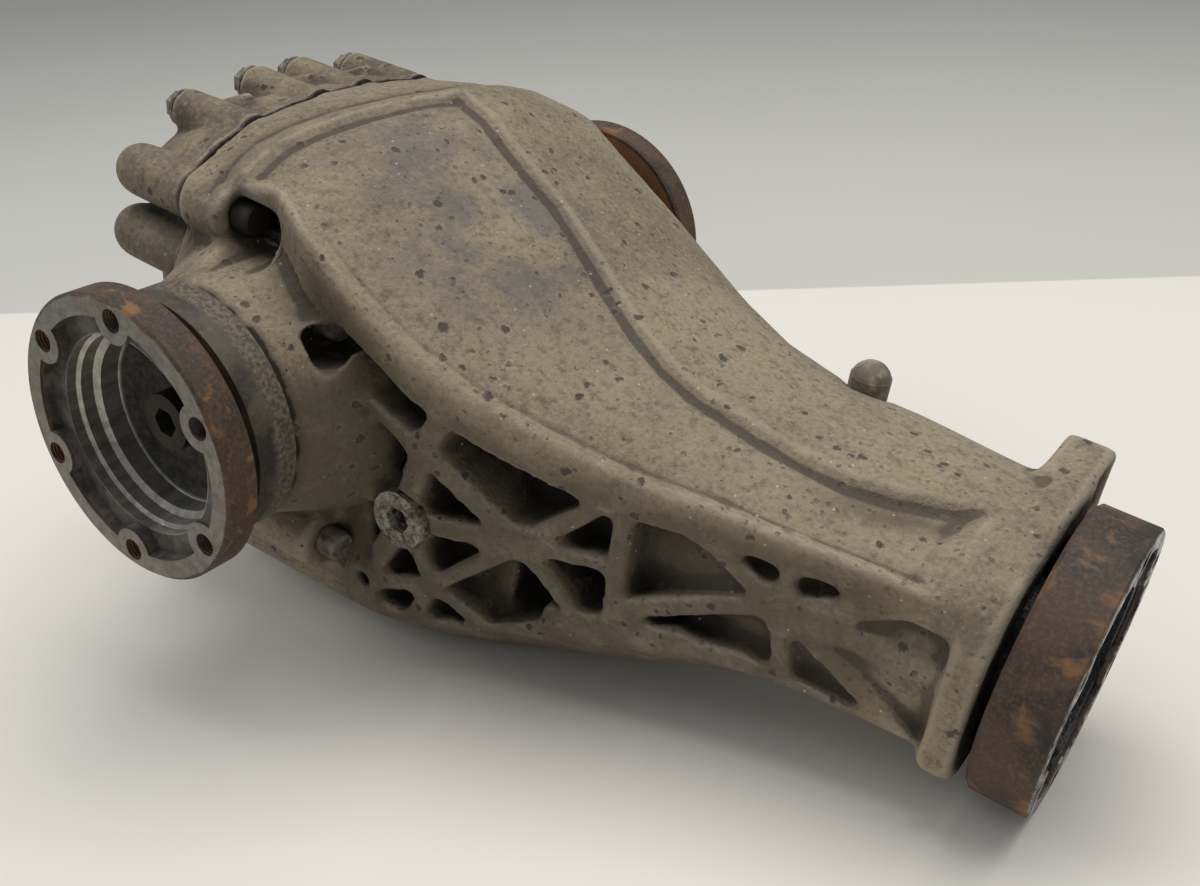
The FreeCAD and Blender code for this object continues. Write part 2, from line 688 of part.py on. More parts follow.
def drain_plug():
    x, z = DRAIN
    head = fuse(cylinder(10.0, 4.0, (x, 0, z - 5.0), "z"), cylinder(6.9, 14.0, (x, 0, z - 2.0), "z"))
    keep(cut(head, hexagon(8.0, 7.0, (x, 0, z - 6.0), "z")), "drain_plug")
    keep(turned_at(9.6, 7.0, 1.0, (x, 0, z - 1.0), "z"), "drain_plug_washer")


BREATHER = (190.0, 47.0)


def breather():
    x, y = BREATHER
    stem = cylinder(4.0, 14.0, (x, y, 8.0), "z")
    cap = cylinder(8.0, 9.0, (x, y, 21.0), "z")
    dome = common(sphere(8.0, (x, y, 28.0)), box((x - 9.0, y - 9.0, 27.0), (x + 9.0, y + 9.0, 36.0)))
    return keep(fuse(stem, cap, dome), "breather")


# ---------------------------------------------------------------- bearings

def roller_bearing(prefix, axis, side, start, inner, race_in, race_out, outer, count):
    """One roller bearing: two races, a cage and its rollers, as four sub-parts."""
    width = D["bearing_width"]
    keep(turned(ring(race_out, outer, start, start + width), axis, side), prefix + "_outer_race")
    keep(turned(ring(inner, race_in, start, start + width), axis, side), prefix + "_inner_race")
    mean = (race_in + race_out) / 2.0
    size = (race_out - race_in) / 2.0 - 0.05
    rollers = []
    pockets = []
    for angle in circle_angles(count):
        across = polar(mean, angle)
        for radius, margin, bag in ((size, 3.0, rollers), (size + 0.25, 2.7, pockets)):
            first = start + margin
            if axis == "y":
                low = first if side > 0 else -(start + width - margin)
                at = (across[0], low, across[1])
            else:
                at = (first, across[0], across[1] - D["offset"])
            bag.append(cylinder(radius, width - 2 * margin, at, axis))
    keep(group(*rollers), prefix + "_rollers")
    cage = turned(ring(mean - 1.2, mean + 1.2, start + 1.2, start + width - 1.2), axis, side)
    keep(cut(cage, *pockets), prefix + "_cage")


def carrier_bearings():
    shims = []
    for name, side in SIDES.items():
        prefix = name + "_carrier_bearing"
        start = D["bearing_inner_end"]
        journal = D["carrier_journal"]
        roller_bearing(prefix, "y", side, start, journal, journal + 5.4, D["carrier_race"] - 3.7,
                       D["carrier_race"], 20)
        end = start + D["bearing_width"]
        outline = ring(D["carrier_race"] - 4.0, D["carrier_race"], end, end + D["shim"])
        shims.append(turned(outline, "y", side))
    keep(group(*shims), "carrier_shims")


def bearing_caps():
    """Half rings that close the carrier bearings' seats at the rear."""
    for name, side in SIDES.items():
        low = CAP_START if side > 0 else -CAP_START - CAP_WIDTH
        centre = side * CAP_BOLT_STATION
        half = cylinder(D["carrier_race"] + 13.0, CAP_WIDTH, (0, low, 0), "y")
        rear = box((-60.0, -90.0, -70.0), (-0.25, 90.0, 70.0))
        lugs = []
        bolts = []
        holes = []
        for z in CAP_BOLT_HEIGHTS:
            lugs.append(box((-26.0, low, z - 6.5), (-0.25, low + CAP_WIDTH, z + 6.5)))
            holes.append(cylinder(4.1, 30.0, (-28.0, centre, z), "x"))
            holes.append(cylinder(8.0, 34.0, (-60.0, centre, z), "x"))
            bolts.append(fuse(cylinder(4.0, 44.0, (-27.0, centre, z), "x"),
                              hexagon(11.0, 6.0, (-32.0, centre, z), "x")))
        seat = cylinder(D["carrier_race"], 200.0, (0, -100.0, 0), "y")
        keep(cut(fuse(common(half, rear), *lugs), seat, *holes), name + "_bearing_cap")
        keep(group(*bolts), name + "_bearing_cap_bolts")


def pinion_bearings():
    head = D["pinion_journal"]
    roller_bearing("pinion_head_bearing", "x", 1.0, D["head_bearing"], head, head + 5.5,
                   D["head_race"] - 6.0, D["head_race"], 18)
    tail = D["tail_journal"]
    roller_bearing("pinion_tail_bearing", "x", 1.0, D["tail_bearing"], tail, tail + 4.4,
                   D["tail_race"] - 4.6, D["tail_race"], 16)
    end = D["head_bearing"] + D["bearing_width"]
    keep(turned(ring(D["head_race"] - 4.0, D["head_race"], end, end + D["shim"]), "x"), "pinion_shim")


# ---------------------------------------------------------------- seals

RUNNING = 0.08


def seals():
    for name, side in SIDES.items():
        start = D["seal_start"]
        keep(turned(ring(D["seal_journal"] + RUNNING, D["seal_outside"], start,
                         start + D["seal_width"]), "y", side), name + "_output_seal")
    start = D["pinion_seal_start"]
    keep(turned(ring(22.0 + RUNNING, D["pinion_seal"], start, start + D["seal_width"]), "x"),
         "pinion_seal")


# ---------------------------------------------------------------- flanges

FLANGE_HOLES = 6
LOBE_DEPTH = 5.0


def flange_cuts(face, side, axis, thickness, lobe_depth):
    """Tapped holes and the scalloped relief between them, in a flange's front face."""
    circle = D["flange_bolt_circle"] / 2.0
    holes = []
    bosses = []
    for angle in circle_angles(FLANGE_HOLES, math.pi / 6):
        across = polar(circle, angle)
        if axis == "y":
            low = face - thickness - 1.0 if side > 0 else -face - 1.0
            deep = face - lobe_depth if side > 0 else -face - 1.0
            spot = (across[0], low, across[1])
            rest = (across[0], deep, across[1])
        else:
            spot = (face - thickness - 1.0, across[0], across[1] - D["offset"])
            rest = (face - lobe_depth, across[0], across[1] - D["offset"])
        holes.append(cylinder(D["flange_hole"], thickness + 2.0, spot, axis))
        bosses.append(cylinder(8.6, lobe_depth + 1.0, rest, axis))
    if axis == "y":
        low = (0, face - lobe_depth if side > 0 else -face - 1.0, 0)
    else:
        low = (face - lobe_depth, 0, -D["offset"])
    relief = cut(cylinder(D["cup_mouth"] + 8.0, lobe_depth + 1.0, low, axis), *bosses)
    return holes + [relief]


def output_flanges():
    face = D["flange_face"]
    back = face - D["flange_rim"]
    floor = D["cup_floor"] + 3.0
    for name, side in SIDES.items():
        profile = [(0, 12.0), (D["output_shaft"], 12.0), (D["output_shaft"], 74.0),
                   (D["seal_journal"], 77.0), (D["seal_journal"], D["neck_end"] + 1.5),
                   (38.0, D["neck_end"] + 1.5), (43.0, D["cup_floor"]), (43.0, back),
                   (D["flange_radius"] - 1.0, back), (D["flange_radius"], back + 1.0),
                   (D["flange_radius"], face - 1.0), (D["flange_radius"] - 1.0, face),
                   (D["cup_mouth"], face), (D["cup_mouth"], face - 9.0),
                   (D["cup_mouth"] - 1.5, face - 10.0), (D["cup_mouth"] - 1.5, face - 15.0),
                   (D["cup_bore"], face - 16.5), (D["cup_bore"], floor + 3.0),
                   (D["cup_bore"] - 4.0, floor), (0, floor)]
        blank = turned(profile, "y", side)
        cuts = flange_cuts(face, side, "y", D["flange_rim"], LOBE_DEPTH)
        bore_low = floor - 60.0 if side > 0 else -floor - 1.0
        cuts.append(cylinder(6.1, 61.0, (0, bore_low, 0), "y"))
        keep(cut(blank, *cuts), name + "_output_flange")
        shield = [(43.0, 119.0), (43.0, 127.0), (47.0, 127.0), (47.0, 110.5), (45.6, 110.5),
                  (45.6, 119.0)]
        keep(turned(shield, "y", side), name + "_dust_ring")
        shank_low = floor - 55.0 if side > 0 else -floor
        head_low = floor if side > 0 else -floor - 9.0
        bolt = fuse(cylinder(6.0, 55.0, (0, shank_low, 0), "y"),
                    cylinder(11.0, 9.0, (0, head_low, 0), "y"))
        socket_low = floor + 3.0 if side > 0 else -floor - 10.0
        keep(cut(bolt, hexagon(10.0, 7.0, (0, socket_low, 0), "y")), name + "_flange_bolt")


INPUT_RECESS = 13.0
NUT_HEIGHT = 6.0


def input_flange():
    """The driven flange with its register, the nut in its recess and the dust shield behind it."""
    face = D["input_face"]
    rear = D["input_rear"]
    floor = face - INPUT_RECESS
    profile = [(D["input_shaft"], 246.0), (22.0, 246.0), (22.0, rear), (D["input_radius"] - 1.5, rear),
               (D["input_radius"], rear + 1.5), (D["input_radius"], face - 1.0),
               (D["input_radius"] - 1.0, face), (D["cup_mouth"], face), (D["cup_mouth"], face - 7.0),
               (D["cup_mouth"] - 1.5, face - 7.5), (D["cup_mouth"] - 1.5, floor),
               (D["input_shaft"], floor)]
    blank = turned(profile, "x")
    cuts = flange_cuts(face, 1.0, "x", face - rear, LOBE_DEPTH / 2.0)
    keep(cut(blank, *cuts), "input_flange")
    nut = fuse(hexagon(30.0, NUT_HEIGHT, (floor, 0, -D["offset"]), "x"),
               cylinder(18.5, 2.0, (floor, 0, -D["offset"]), "x"))
    keep(cut(nut, cylinder(11.0, 12.0, (floor - 2.0, 0, -D["offset"]), "x")), "pinion_nut")
    shield = [(22.0, 269.5), (22.0, 271.0), (31.0, 271.0), (31.0, 278.5), (32.0, 278.5), (32.0, 269.5)]
    keep(turned(shield, "x"), "input_dust_shield")


# ---------------------------------------------------------------- gears

PRESSURE = math.radians(20.0)


def involute(angle):
    return math.tan(angle) - angle


def tooth_outline(radius, teeth, head, foot, thin, pressure):
    """Half widths and heights of an involute tooth on a circle of the given radius."""
    base = radius * math.cos(pressure)
    half = math.pi / 2 / teeth * (1.0 - thin)
    flank = []
    for step in range(4):
        rho = radius - foot + (head + foot) * step / 3.0
        turn = math.acos(min(base / max(rho, base), 1.0))
        angle = half + involute(pressure) - involute(turn)
        flank.append((rho * math.sin(angle), rho * math.cos(angle) - radius))
    return [(-t, up) for t, up in flank] + [(t, up) for t, up in reversed(flank)]


def bevel_teeth(teeth, cone_angle, outer, width, module, thin, spiral, phase, sections):
    """Teeth of a bevel gear on +Z with its apex at the origin, as separate lofts."""
    back = outer * math.tan(cone_angle)
    count_on_back = teeth / math.cos(cone_angle)
    pressure = math.atan(math.tan(PRESSURE) / math.cos(spiral))
    outline = tooth_outline(back, count_on_back, TOOTH_HEAD * module, TOOTH_FOOT * module, thin,
                            pressure)
    middle = outer - width / 2.0
    tooth_wires = []
    for i in range(sections):
        distance = outer + 0.3 - (width + 0.6) * i / (sections - 1)
        scale = distance / outer
        turn = math.tan(spiral) / math.sin(cone_angle) * math.log(distance / middle)
        points = []
        for t, up in outline:
            x = distance * math.sin(cone_angle) + up * scale * math.cos(cone_angle)
            z = distance * math.cos(cone_angle) - up * scale * math.sin(cone_angle)
            y = t * scale
            points.append(FreeCAD.Vector(x * math.cos(turn) - y * math.sin(turn),
                                         x * math.sin(turn) + y * math.cos(turn), z))
        tooth_wires.append(Part.makePolygon(points + points[:1]))
    tooth = Part.makeLoft(tooth_wires, True, sections == 2)
    teeth_solids = []
    for angle in circle_angles(teeth, phase):
        copy = tooth.copy()
        copy.rotate(FreeCAD.Vector(), FreeCAD.Vector(0, 0, 1), math.degrees(angle))
        teeth_solids.append(copy)
    return teeth_solids


TOOTH_HEAD = 0.85
TOOTH_FOOT = 1.1
ROOT_FUSE = 0.12


def root_line(cone_angle, outer, width, module):
    """Radius and height of the root cone at the outer and inner ends of the teeth."""
    line = []
    for distance in (outer, outer - width):
        foot = (TOOTH_FOOT - ROOT_FUSE) * module * distance / outer
        line.append((distance * math.sin(cone_angle) - foot * math.cos(cone_angle),
                     distance * math.cos(cone_angle) + foot * math.sin(cone_angle)))
    return line


def revolved(outline):
    """A solid turned about Z from (radius, height) points."""
    points = [FreeCAD.Vector(radius, 0, z) for radius, z in outline]
    face = Part.Face(Part.makePolygon(points + points[:1]))
    return face.revolve(FreeCAD.Vector(), FreeCAD.Vector(0, 0, 1), 360)


def gear_solid(blank, teeth):
    return blank.multiFuse(teeth).removeSplitter()


def stand(shape, columns, move):
    """Turn a gear made on +Z so that its axes lie along the given row directions."""
    x, y, z = columns
    matrix = FreeCAD.Matrix(x[0], y[0], z[0], move[0], x[1], y[1], z[1], move[1],
                            x[2], y[2], z[2], move[2], 0, 0, 0, 1)
    copy = shape.copy()
    copy.Placement = FreeCAD.Placement(matrix).multiply(copy.Placement)
    return copy


SIDE_TEETH = 16
SPIDER_TEETH = 10
DIFF_MODULE = 3.5
DIFF_WIDTH = 10.5
DIFF_THIN = 0.10


def differential_gears():
    cone = DIFF_MODULE * math.hypot(SIDE_TEETH, SPIDER_TEETH) / 2.0
    side_angle = math.atan2(SIDE_TEETH, SPIDER_TEETH)
    spider_angle = math.pi / 2 - side_angle
    (r_out, z_out), (r_in, z_in) = root_line(side_angle, cone, DIFF_WIDTH, DIFF_MODULE)
    bore = D["output_shaft"].value
    blank = revolved([(bore, z_in), (r_in, z_in), (r_out, z_out), (r_out - 1.0, z_out + 3.0),
                      (20.0, z_out + 5.0), (20.0, 35.0), (bore, 35.0)])
    teeth = bevel_teeth(SIDE_TEETH, side_angle, cone, DIFF_WIDTH, DIFF_MODULE, DIFF_THIN, 0.0,
                        math.pi / SIDE_TEETH, 2)
    side_gear = gear_solid(blank, teeth)
    for name, side in SIDES.items():
        shape = stand(side_gear, ((0, 0, 1), (side, 0, 0), (0, side, 0)), (0, 0, 0))
        keep(shaped(shape, "SideGear"), name + "_side_gear")
        keep(turned(ring(D["output_shaft"] + 1.0, 26.0, 35.1, 35.9), "y", side),
             name + "_thrust_washer")
    (r_out, z_out), (r_in, z_in) = root_line(spider_angle, cone, DIFF_WIDTH, DIFF_MODULE)
    bore = D["cross_pin"].value + RUNNING / 2
    blank = revolved([(bore, z_in), (r_in, z_in), (r_out, z_out), (r_out - 1.5, z_out + 1.2),
                      (11.0, 33.6), (bore, 33.6)])
    teeth = bevel_teeth(SPIDER_TEETH, spider_angle, cone, DIFF_WIDTH, DIFF_MODULE, DIFF_THIN, 0.0,
                        0.0, 2)
    spider = gear_solid(blank, teeth)
    for name, up in (("upper", 1.0), ("lower", -1.0)):
        shape = stand(spider, ((0, up, 0), (-1, 0, 0), (0, 0, up)), (0, 0, 0))
        keep(shaped(shape, "SpiderGear"), name + "_spider_gear")
        low = 33.7 if up > 0 else -34.3
        keep(turned_at(10.5, 8.3, 0.6, (0, 0, low), "z"), name + "_spider_washer")


RING_TEETH = 43
PINION_TEETH = 11
RING_SPIRAL = math.radians(20.0)
HYPOID_THIN = 0.16


def hypoid_pair():
    """Ring gear and pinion, in mesh where the pinion's axis passes under the ring's."""
    outer_radius = D["ring_radius"].value
    inner_radius = D["ring_inner"].value
    offset = D["offset"].value
    ring_angle = math.atan2(RING_TEETH, PINION_TEETH)
    mean = (outer_radius + inner_radius) / 2.0
    swing = math.asin(offset / mean)
    pinion_spiral = RING_SPIRAL + swing
    pinion_mean = (mean * PINION_TEETH / RING_TEETH
                   * math.cos(RING_SPIRAL) / math.cos(pinion_spiral))
    apex_shift = pinion_mean - mean / math.tan(ring_angle)
    mesh_x = math.sqrt(mean ** 2 - offset ** 2)
    outer_x = math.sqrt(outer_radius ** 2 - offset ** 2)
    pinion_outer = apex_shift + outer_radius / math.tan(ring_angle)
    pinion_angle = math.atan2(pinion_outer - pinion_mean, outer_x - mesh_x)

    module = 2.0 * outer_radius / RING_TEETH
    outer = outer_radius / math.sin(ring_angle)
    width = (outer_radius - inner_radius) / math.sin(ring_angle)
    (r_out, z_out), (r_in, z_in) = root_line(ring_angle, outer, width, module)
    back = D["ring_back"].value - apex_shift
    blank = revolved([(53.0, z_in + 1.0), (r_in, z_in), (r_out, z_out), (r_out + 0.4, z_out + 2.0),
                      (r_out + 0.4, back - 1.0), (r_out - 0.6, back), (53.0, back)])
    phase = swing + math.pi / RING_TEETH
    teeth = bevel_teeth(RING_TEETH, ring_angle, outer, width, module, HYPOID_THIN, RING_SPIRAL,
                        phase, 3)
    shape = stand(gear_solid(blank, teeth), ((1, 0, 0), (0, 0, -1), (0, 1, 0)), (0, apex_shift, 0))
    holes = []
    for angle in circle_angles(RING_BOLTS):
        x, z = polar(D["ring_bolt_circle"], angle)
        holes.append(cylinder(4.55, 13.5, (x, D["ring_back"] - 13.0, z), "y"))
    keep(cut(shaped(shape, "RingGear"), *holes), "ring_gear")

    outer = pinion_outer / math.sin(pinion_angle)
    width = (outer_x - mesh_x) * 2.0 / math.cos(pinion_angle)
    module = 2.0 * pinion_outer / PINION_TEETH * math.cos(pinion_spiral) / math.cos(RING_SPIRAL)
    teeth = bevel_teeth(PINION_TEETH, pinion_angle, outer, width, module, HYPOID_THIN,
                        -pinion_spiral, 0.0, 5)
    apex = outer_x - outer * math.cos(pinion_angle)
    (r_out, z_out), (r_in, z_in) = root_line(pinion_angle, outer, width, module)
    head = D["head_bearing"].value - apex
    journal = D["pinion_journal"].value
    journal_end = head + D["bearing_width"].value
    tail = D["tail_bearing"].value - apex
    nut_seat = D["input_face"].value - INPUT_RECESS - apex
    shaft_end = nut_seat + NUT_HEIGHT - 0.2
    blank = revolved([(0, z_in - 1.0), (r_in - 2.0, z_in - 1.0), (r_in, z_in), (r_out, z_out),
                      (r_out, head - 3.0), (22.5, head), (journal, head), (journal, journal_end),
                      (15.5, journal_end), (15.5, tail - 20.0), (15.0, tail - 20.0),
                      (15.0, tail + 20.0), (D["input_shaft"].value, tail + 20.0),
                      (D["input_shaft"].value, nut_seat), (11.0, nut_seat),
                      (11.0, shaft_end - 1.0), (10.0, shaft_end), (0, shaft_end)])
    shape = stand(gear_solid(blank, teeth), ((0, 1, 0), (0, 0, 1), (1, 0, 0)), (apex, 0, -offset))
    keep(shaped(shape, "Pinion"), "pinion_shaft")
    start = D["head_bearing"] + D["bearing_width"]
    end = D["tail_bearing"]
    sleeve = [(20.5, start), (20.5, 150.0), (23.0, 165.0), (20.5, 180.0),
              (20.5, end), (16.0, end), (16.0, 181.0), (19.0, 165.0), (16.0, 149.0),
              (16.0, start)]
    keep(turned(sleeve, "x"), "crush_sleeve")


# ---------------------------------------------------------------- differential case

RING_BOLTS = 10


def differential_case():
    journal = D["carrier_journal"]
    outer = D["case_radius"]
    bore = D["case_bore"]
    start = D["bearing_inner_end"]
    end = start + D["bearing_width"] + 1.0
    back = D["ring_back"]
    profile = [(16.5, -end), (journal, -end), (journal, -start), (30.0, -start), (30.0, -46.0),
               (outer, -40.0), (outer, 27.0), (53.0, 30.0), (53.0, back), (73.0, back),
               (73.0, back + 7.0), (30.0, back + 7.0), (30.0, start), (journal, start), (journal, end),
               (16.5, end), (16.5, 36.0), (bore, 36.0), (bore, -36.0), (16.5, -36.0)]
    blank = turned(profile, "y")
    holes = [cylinder(D["cross_pin"] + 0.02, 120.0, (0, 0, -60.0), "z")]
    holes.append(box((-60.0, -22.0, -17.0), (60.0, 22.0, 17.0)))
    for angle in circle_angles(RING_BOLTS):
        x, z = polar(D["ring_bolt_circle"], angle)
        holes.append(cylinder(4.6, 12.0, (x, back - 1.0, z), "y"))
    holes.append(cylinder(2.05, 60.0, (0, -50.0, 39.5), "y"))
    keep(cut(blank, *holes), "differential_case")
    pin = cylinder(D["cross_pin"], 2 * outer - 1.0, (0, 0, -outer + 0.5), "z")
    keep(cut(pin, cylinder(2.05, 40.0, (0, -20.0, 39.5), "y")), "cross_pin")
    keep(cylinder(2.0, 49.0, (0, -40.0, 39.5), "y"), "cross_pin_lock")
    bolts = []
    for angle in circle_angles(RING_BOLTS):
        x, z = polar(D["ring_bolt_circle"], angle)
        bolts.append(fuse(cylinder(4.5, 18.0, (x, back - 11.0, z), "y"),
                          hexagon(13.0, 5.0, (x, back + 7.0, z), "y")))
    keep(group(*bolts), "ring_gear_bolts")


main_housing()
rear_cover()
cover_gasket()
rear_bolts()
front_bolts()
cover_dowels()
fill_plug()
drain_plug()
breather()
carrier_bearings()
bearing_caps()
pinion_bearings()
seals()
output_flanges()
input_flange()
differential_gears()
differential_case()
hypoid_pair()


def finish():
    doc.recompute()
    for obj in doc.Objects:
        bad = [state for state in obj.State if state in ("Invalid", "Error")]
        if bad:
            raise RuntimeError("%s (%s) is %s" % (obj.Name, obj.Label, bad))
    for obj in PIECES:
        if obj.Shape.isNull() or not obj.Shape.isValid():
            raise RuntimeError("%s has no valid shape" % obj.Label)
    os.makedirs("parts", exist_ok=True)
    for obj in PIECES:
        obj.Shape.exportStep(os.path.join("parts", obj.Label + ".step"))


finish()
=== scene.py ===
import json
import math

import bmesh
import bpy
import numpy as np
from mathutils import Matrix, Vector
from mathutils.bvhtree import BVHTree

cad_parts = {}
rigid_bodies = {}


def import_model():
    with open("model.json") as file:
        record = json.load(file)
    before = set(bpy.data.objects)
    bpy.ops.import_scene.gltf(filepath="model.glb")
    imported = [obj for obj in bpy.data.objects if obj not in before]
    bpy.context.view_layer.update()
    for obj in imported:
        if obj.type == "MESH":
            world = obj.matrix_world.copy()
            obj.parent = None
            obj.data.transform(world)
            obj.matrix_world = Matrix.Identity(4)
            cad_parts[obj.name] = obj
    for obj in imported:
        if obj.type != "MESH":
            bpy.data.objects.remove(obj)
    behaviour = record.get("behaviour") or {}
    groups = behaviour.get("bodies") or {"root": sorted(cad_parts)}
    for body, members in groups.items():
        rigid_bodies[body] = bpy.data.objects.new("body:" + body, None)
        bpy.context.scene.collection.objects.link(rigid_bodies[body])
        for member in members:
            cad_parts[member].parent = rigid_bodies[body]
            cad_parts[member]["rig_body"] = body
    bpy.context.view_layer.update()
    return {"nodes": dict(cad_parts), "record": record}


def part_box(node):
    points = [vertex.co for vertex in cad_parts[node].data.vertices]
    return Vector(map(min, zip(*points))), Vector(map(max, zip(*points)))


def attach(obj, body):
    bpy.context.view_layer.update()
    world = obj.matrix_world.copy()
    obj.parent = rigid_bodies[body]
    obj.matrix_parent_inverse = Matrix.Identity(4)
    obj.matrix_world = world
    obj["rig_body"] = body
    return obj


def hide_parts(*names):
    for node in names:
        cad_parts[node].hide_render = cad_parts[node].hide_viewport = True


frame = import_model()

# Lengths are in metres, in the part's own frame: X runs forward to the input flange, Y to the left
# along the axle and Z up. The two castings are rebuilt here with soft edges and a sand-cast skin.
# The other parts keep their CAD shapes, and get their finishes from this script.

MM = 0.001
NODES = frame["nodes"]
MOUNTS = {mount["name"]: mount for mount in frame["record"]["mounts"]}
NODE_BODY = {node: obj["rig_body"] for node, obj in NODES.items()}
SLOT_OF = {part["node"]: part["material_slot"] for part in frame["record"]["subparts"]}

INPUT_Z = MOUNTS["input_flange_bolts"]["pos_m"][2]
INPUT_FACE = MOUNTS["input_flange_bolts"]["pos_m"][0]
OUTPUT_FACE = MOUNTS["left_output_bolts"]["pos_m"][1]
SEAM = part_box("main_housing")[0].x


# ---------------------------------------------------------------- mesh helpers

def link(obj):
    bpy.context.scene.collection.objects.link(obj)
    return obj


def points_of(mesh):
    flat = np.empty(len(mesh.vertices) * 3, np.float32)
    mesh.vertices.foreach_get("co", flat)
    return flat.reshape(-1, 3).astype(float)


def normals_of(mesh):
    flat = np.empty(len(mesh.vertices) * 3, np.float32)
    mesh.vertices.foreach_get("normal", flat)
    return flat.reshape(-1, 3).astype(float)


def edges_of(mesh):
    flat = np.empty(len(mesh.edges) * 2, np.int32)
    mesh.edges.foreach_get("vertices", flat)
    return flat.reshape(-1, 2)


def set_points(mesh, points):
    mesh.vertices.foreach_set("co", points.astype(np.float32).ravel())
    mesh.update()


def neighbour_mean(values, edges):
    """The mean of each vertex's neighbours, for an array with one row per vertex."""
    count = len(values)
    degree = np.bincount(edges.ravel(), minlength=count).clip(1)[:, None]
    total = np.empty_like(values)
    for axis in range(values.shape[1]):
        total[:, axis] = np.bincount(edges[:, 0], values[edges[:, 1], axis], count)
        total[:, axis] += np.bincount(edges[:, 1], values[edges[:, 0], axis], count)
    return total / degree


def relax(points, edges, steps, amount, hold):
    """Laplacian smoothing that leaves the vertices where hold is 1."""
    free = (1.0 - hold)[:, None] * amount
    for _ in range(steps):
        points = points + free * (neighbour_mean(points, edges) - points)
    return points


def smooth_step(start, end, values):
    """0 up to start, 1 from end on, smooth between; start may be the larger."""
    t = np.clip((values - start) / (end - start), 0.0, 1.0)
    return t * t * (3.0 - 2.0 * t)


def hump(values, centre, width):
    """1 at the centre, falling off on both sides like a bell."""
    return np.exp(-((values - centre) / width) ** 2)


def store(mesh, name, values):
    """Keep one number per vertex for the materials to read."""
    layer = mesh.attributes.get(name) or mesh.attributes.new(name, "FLOAT", "POINT")
    layer.data.foreach_set("value", values.astype(np.float32))


def apply_modifiers(piece):
    graph = bpy.context.evaluated_depsgraph_get()
    graph.update()
    mesh = bpy.data.meshes.new_from_object(piece.evaluated_get(graph))
    piece.modifiers.clear()
    piece.data = mesh
    mesh.name = piece.name
    for face in mesh.polygons:
        face.use_smooth = True


def remeshed(node, name, voxel):
    """A fine even mesh over one CAD node, as a new piece."""
    mesh = NODES[node].data.copy()
    work = bmesh.new()
    work.from_mesh(mesh)
    bmesh.ops.remove_doubles(work, verts=work.verts, dist=1e-6)
    work.to_mesh(mesh)
    work.free()
    mesh.materials.clear()
    piece = link(bpy.data.objects.new(name, mesh))
    modifier = piece.modifiers.new("even", "REMESH")
    modifier.mode = "VOXEL"
    modifier.voxel_size = voxel
    apply_modifiers(piece)
    return piece


def thin_out(piece, chosen, faces):
    """Merge chosen vertices until the piece has about this many triangles."""
    group = piece.vertex_groups.new(name="thin")
    group.add([int(index) for index in np.nonzero(chosen)[0]], 1.0, "REPLACE")
    modifier = piece.modifiers.new("thin", "DECIMATE")
    modifier.ratio = faces / sum(len(face.vertices) - 2 for face in piece.data.polygons)
    modifier.vertex_group = "thin"
    apply_modifiers(piece)
    piece.vertex_groups.clear()


# ---------------------------------------------------------------- how walled in a surface is

SHELTERING = ("main_housing", "rear_cover", "left_output_flange", "right_output_flange",
              "input_flange", "left_dust_ring", "right_dust_ring")
SHELTER_CELL = 4 * MM
SHELTER_RAYS = 14
SHELTER_REACH = 60 * MM
SHELTER_LIFT = 2.2 * MM
SHELTER_BLUR = 5
HEMISPHERE_SHARE = 0.92


def hemisphere(count):
    """Directions spread evenly over the half of a sphere round +Z, without its lowest edge."""
    golden_turn = math.pi * (3.0 - math.sqrt(5.0))
    steps = np.arange(count)
    up = 1.0 - (steps + 0.5) / count * HEMISPHERE_SHARE
    out = np.sqrt(1.0 - up * up)
    return np.stack((out * np.cos(steps * golden_turn), out * np.sin(steps * golden_turn), up), 1)


def outer_tree():
    """The parts that keep rain and light off each other, as one tree for ray casts."""
    corners, triangles, start = [], [], 0
    for node in SHELTERING:
        mesh = NODES[node].data
        mesh.calc_loop_triangles()
        corners.extend(vertex.co.copy() for vertex in mesh.vertices)
        for triangle in mesh.loop_triangles:
            triangles.append([start + index for index in triangle.vertices])
        start += len(mesh.vertices)
    return BVHTree.FromPolygons(corners, triangles, all_triangles=True)


def shelter(points, normals, edges):
    """How walled in each vertex is, from 0 in the open to 1 deep in a pocket.

    Rays are cast from one vertex per small cell and facing, and the rest of the cell shares it."""
    steepest = np.abs(normals).argmax(1)
    upward = np.take_along_axis(normals, steepest[:, None], 1)[:, 0] > 0
    cells = np.column_stack((np.floor(points / SHELTER_CELL), steepest * 2 + upward)).astype(int)
    _, first, group = np.unique(cells, axis=0, return_index=True, return_inverse=True)
    tree = outer_tree()
    rays = hemisphere(SHELTER_RAYS)
    found = np.empty(len(first))
    for slot, index in enumerate(first):
        normal = Vector(normals[index])
        turn = np.array(normal.to_track_quat("Z", "Y").to_matrix())
        start = Vector(points[index]) + normal * SHELTER_LIFT
        blocked = 0.0
        for ray in rays @ turn.T:
            gap = tree.ray_cast(start, Vector(ray), SHELTER_REACH)[3]
            if gap is not None:
                blocked += 1.0 - gap / SHELTER_REACH
        found[slot] = blocked / SHELTER_RAYS
    values = found[group.ravel()][:, None]
    for _ in range(SHELTER_BLUR):
        values = 0.5 * values + 0.5 * neighbour_mean(values, edges)
    return values[:, 0]


# ---------------------------------------------------------------- material helpers

NUMBER_A, NUMBER_B, NUMBER_RESULT = 2, 3, 0
COLOUR_A, COLOUR_B, COLOUR_RESULT = 6, 7, 2


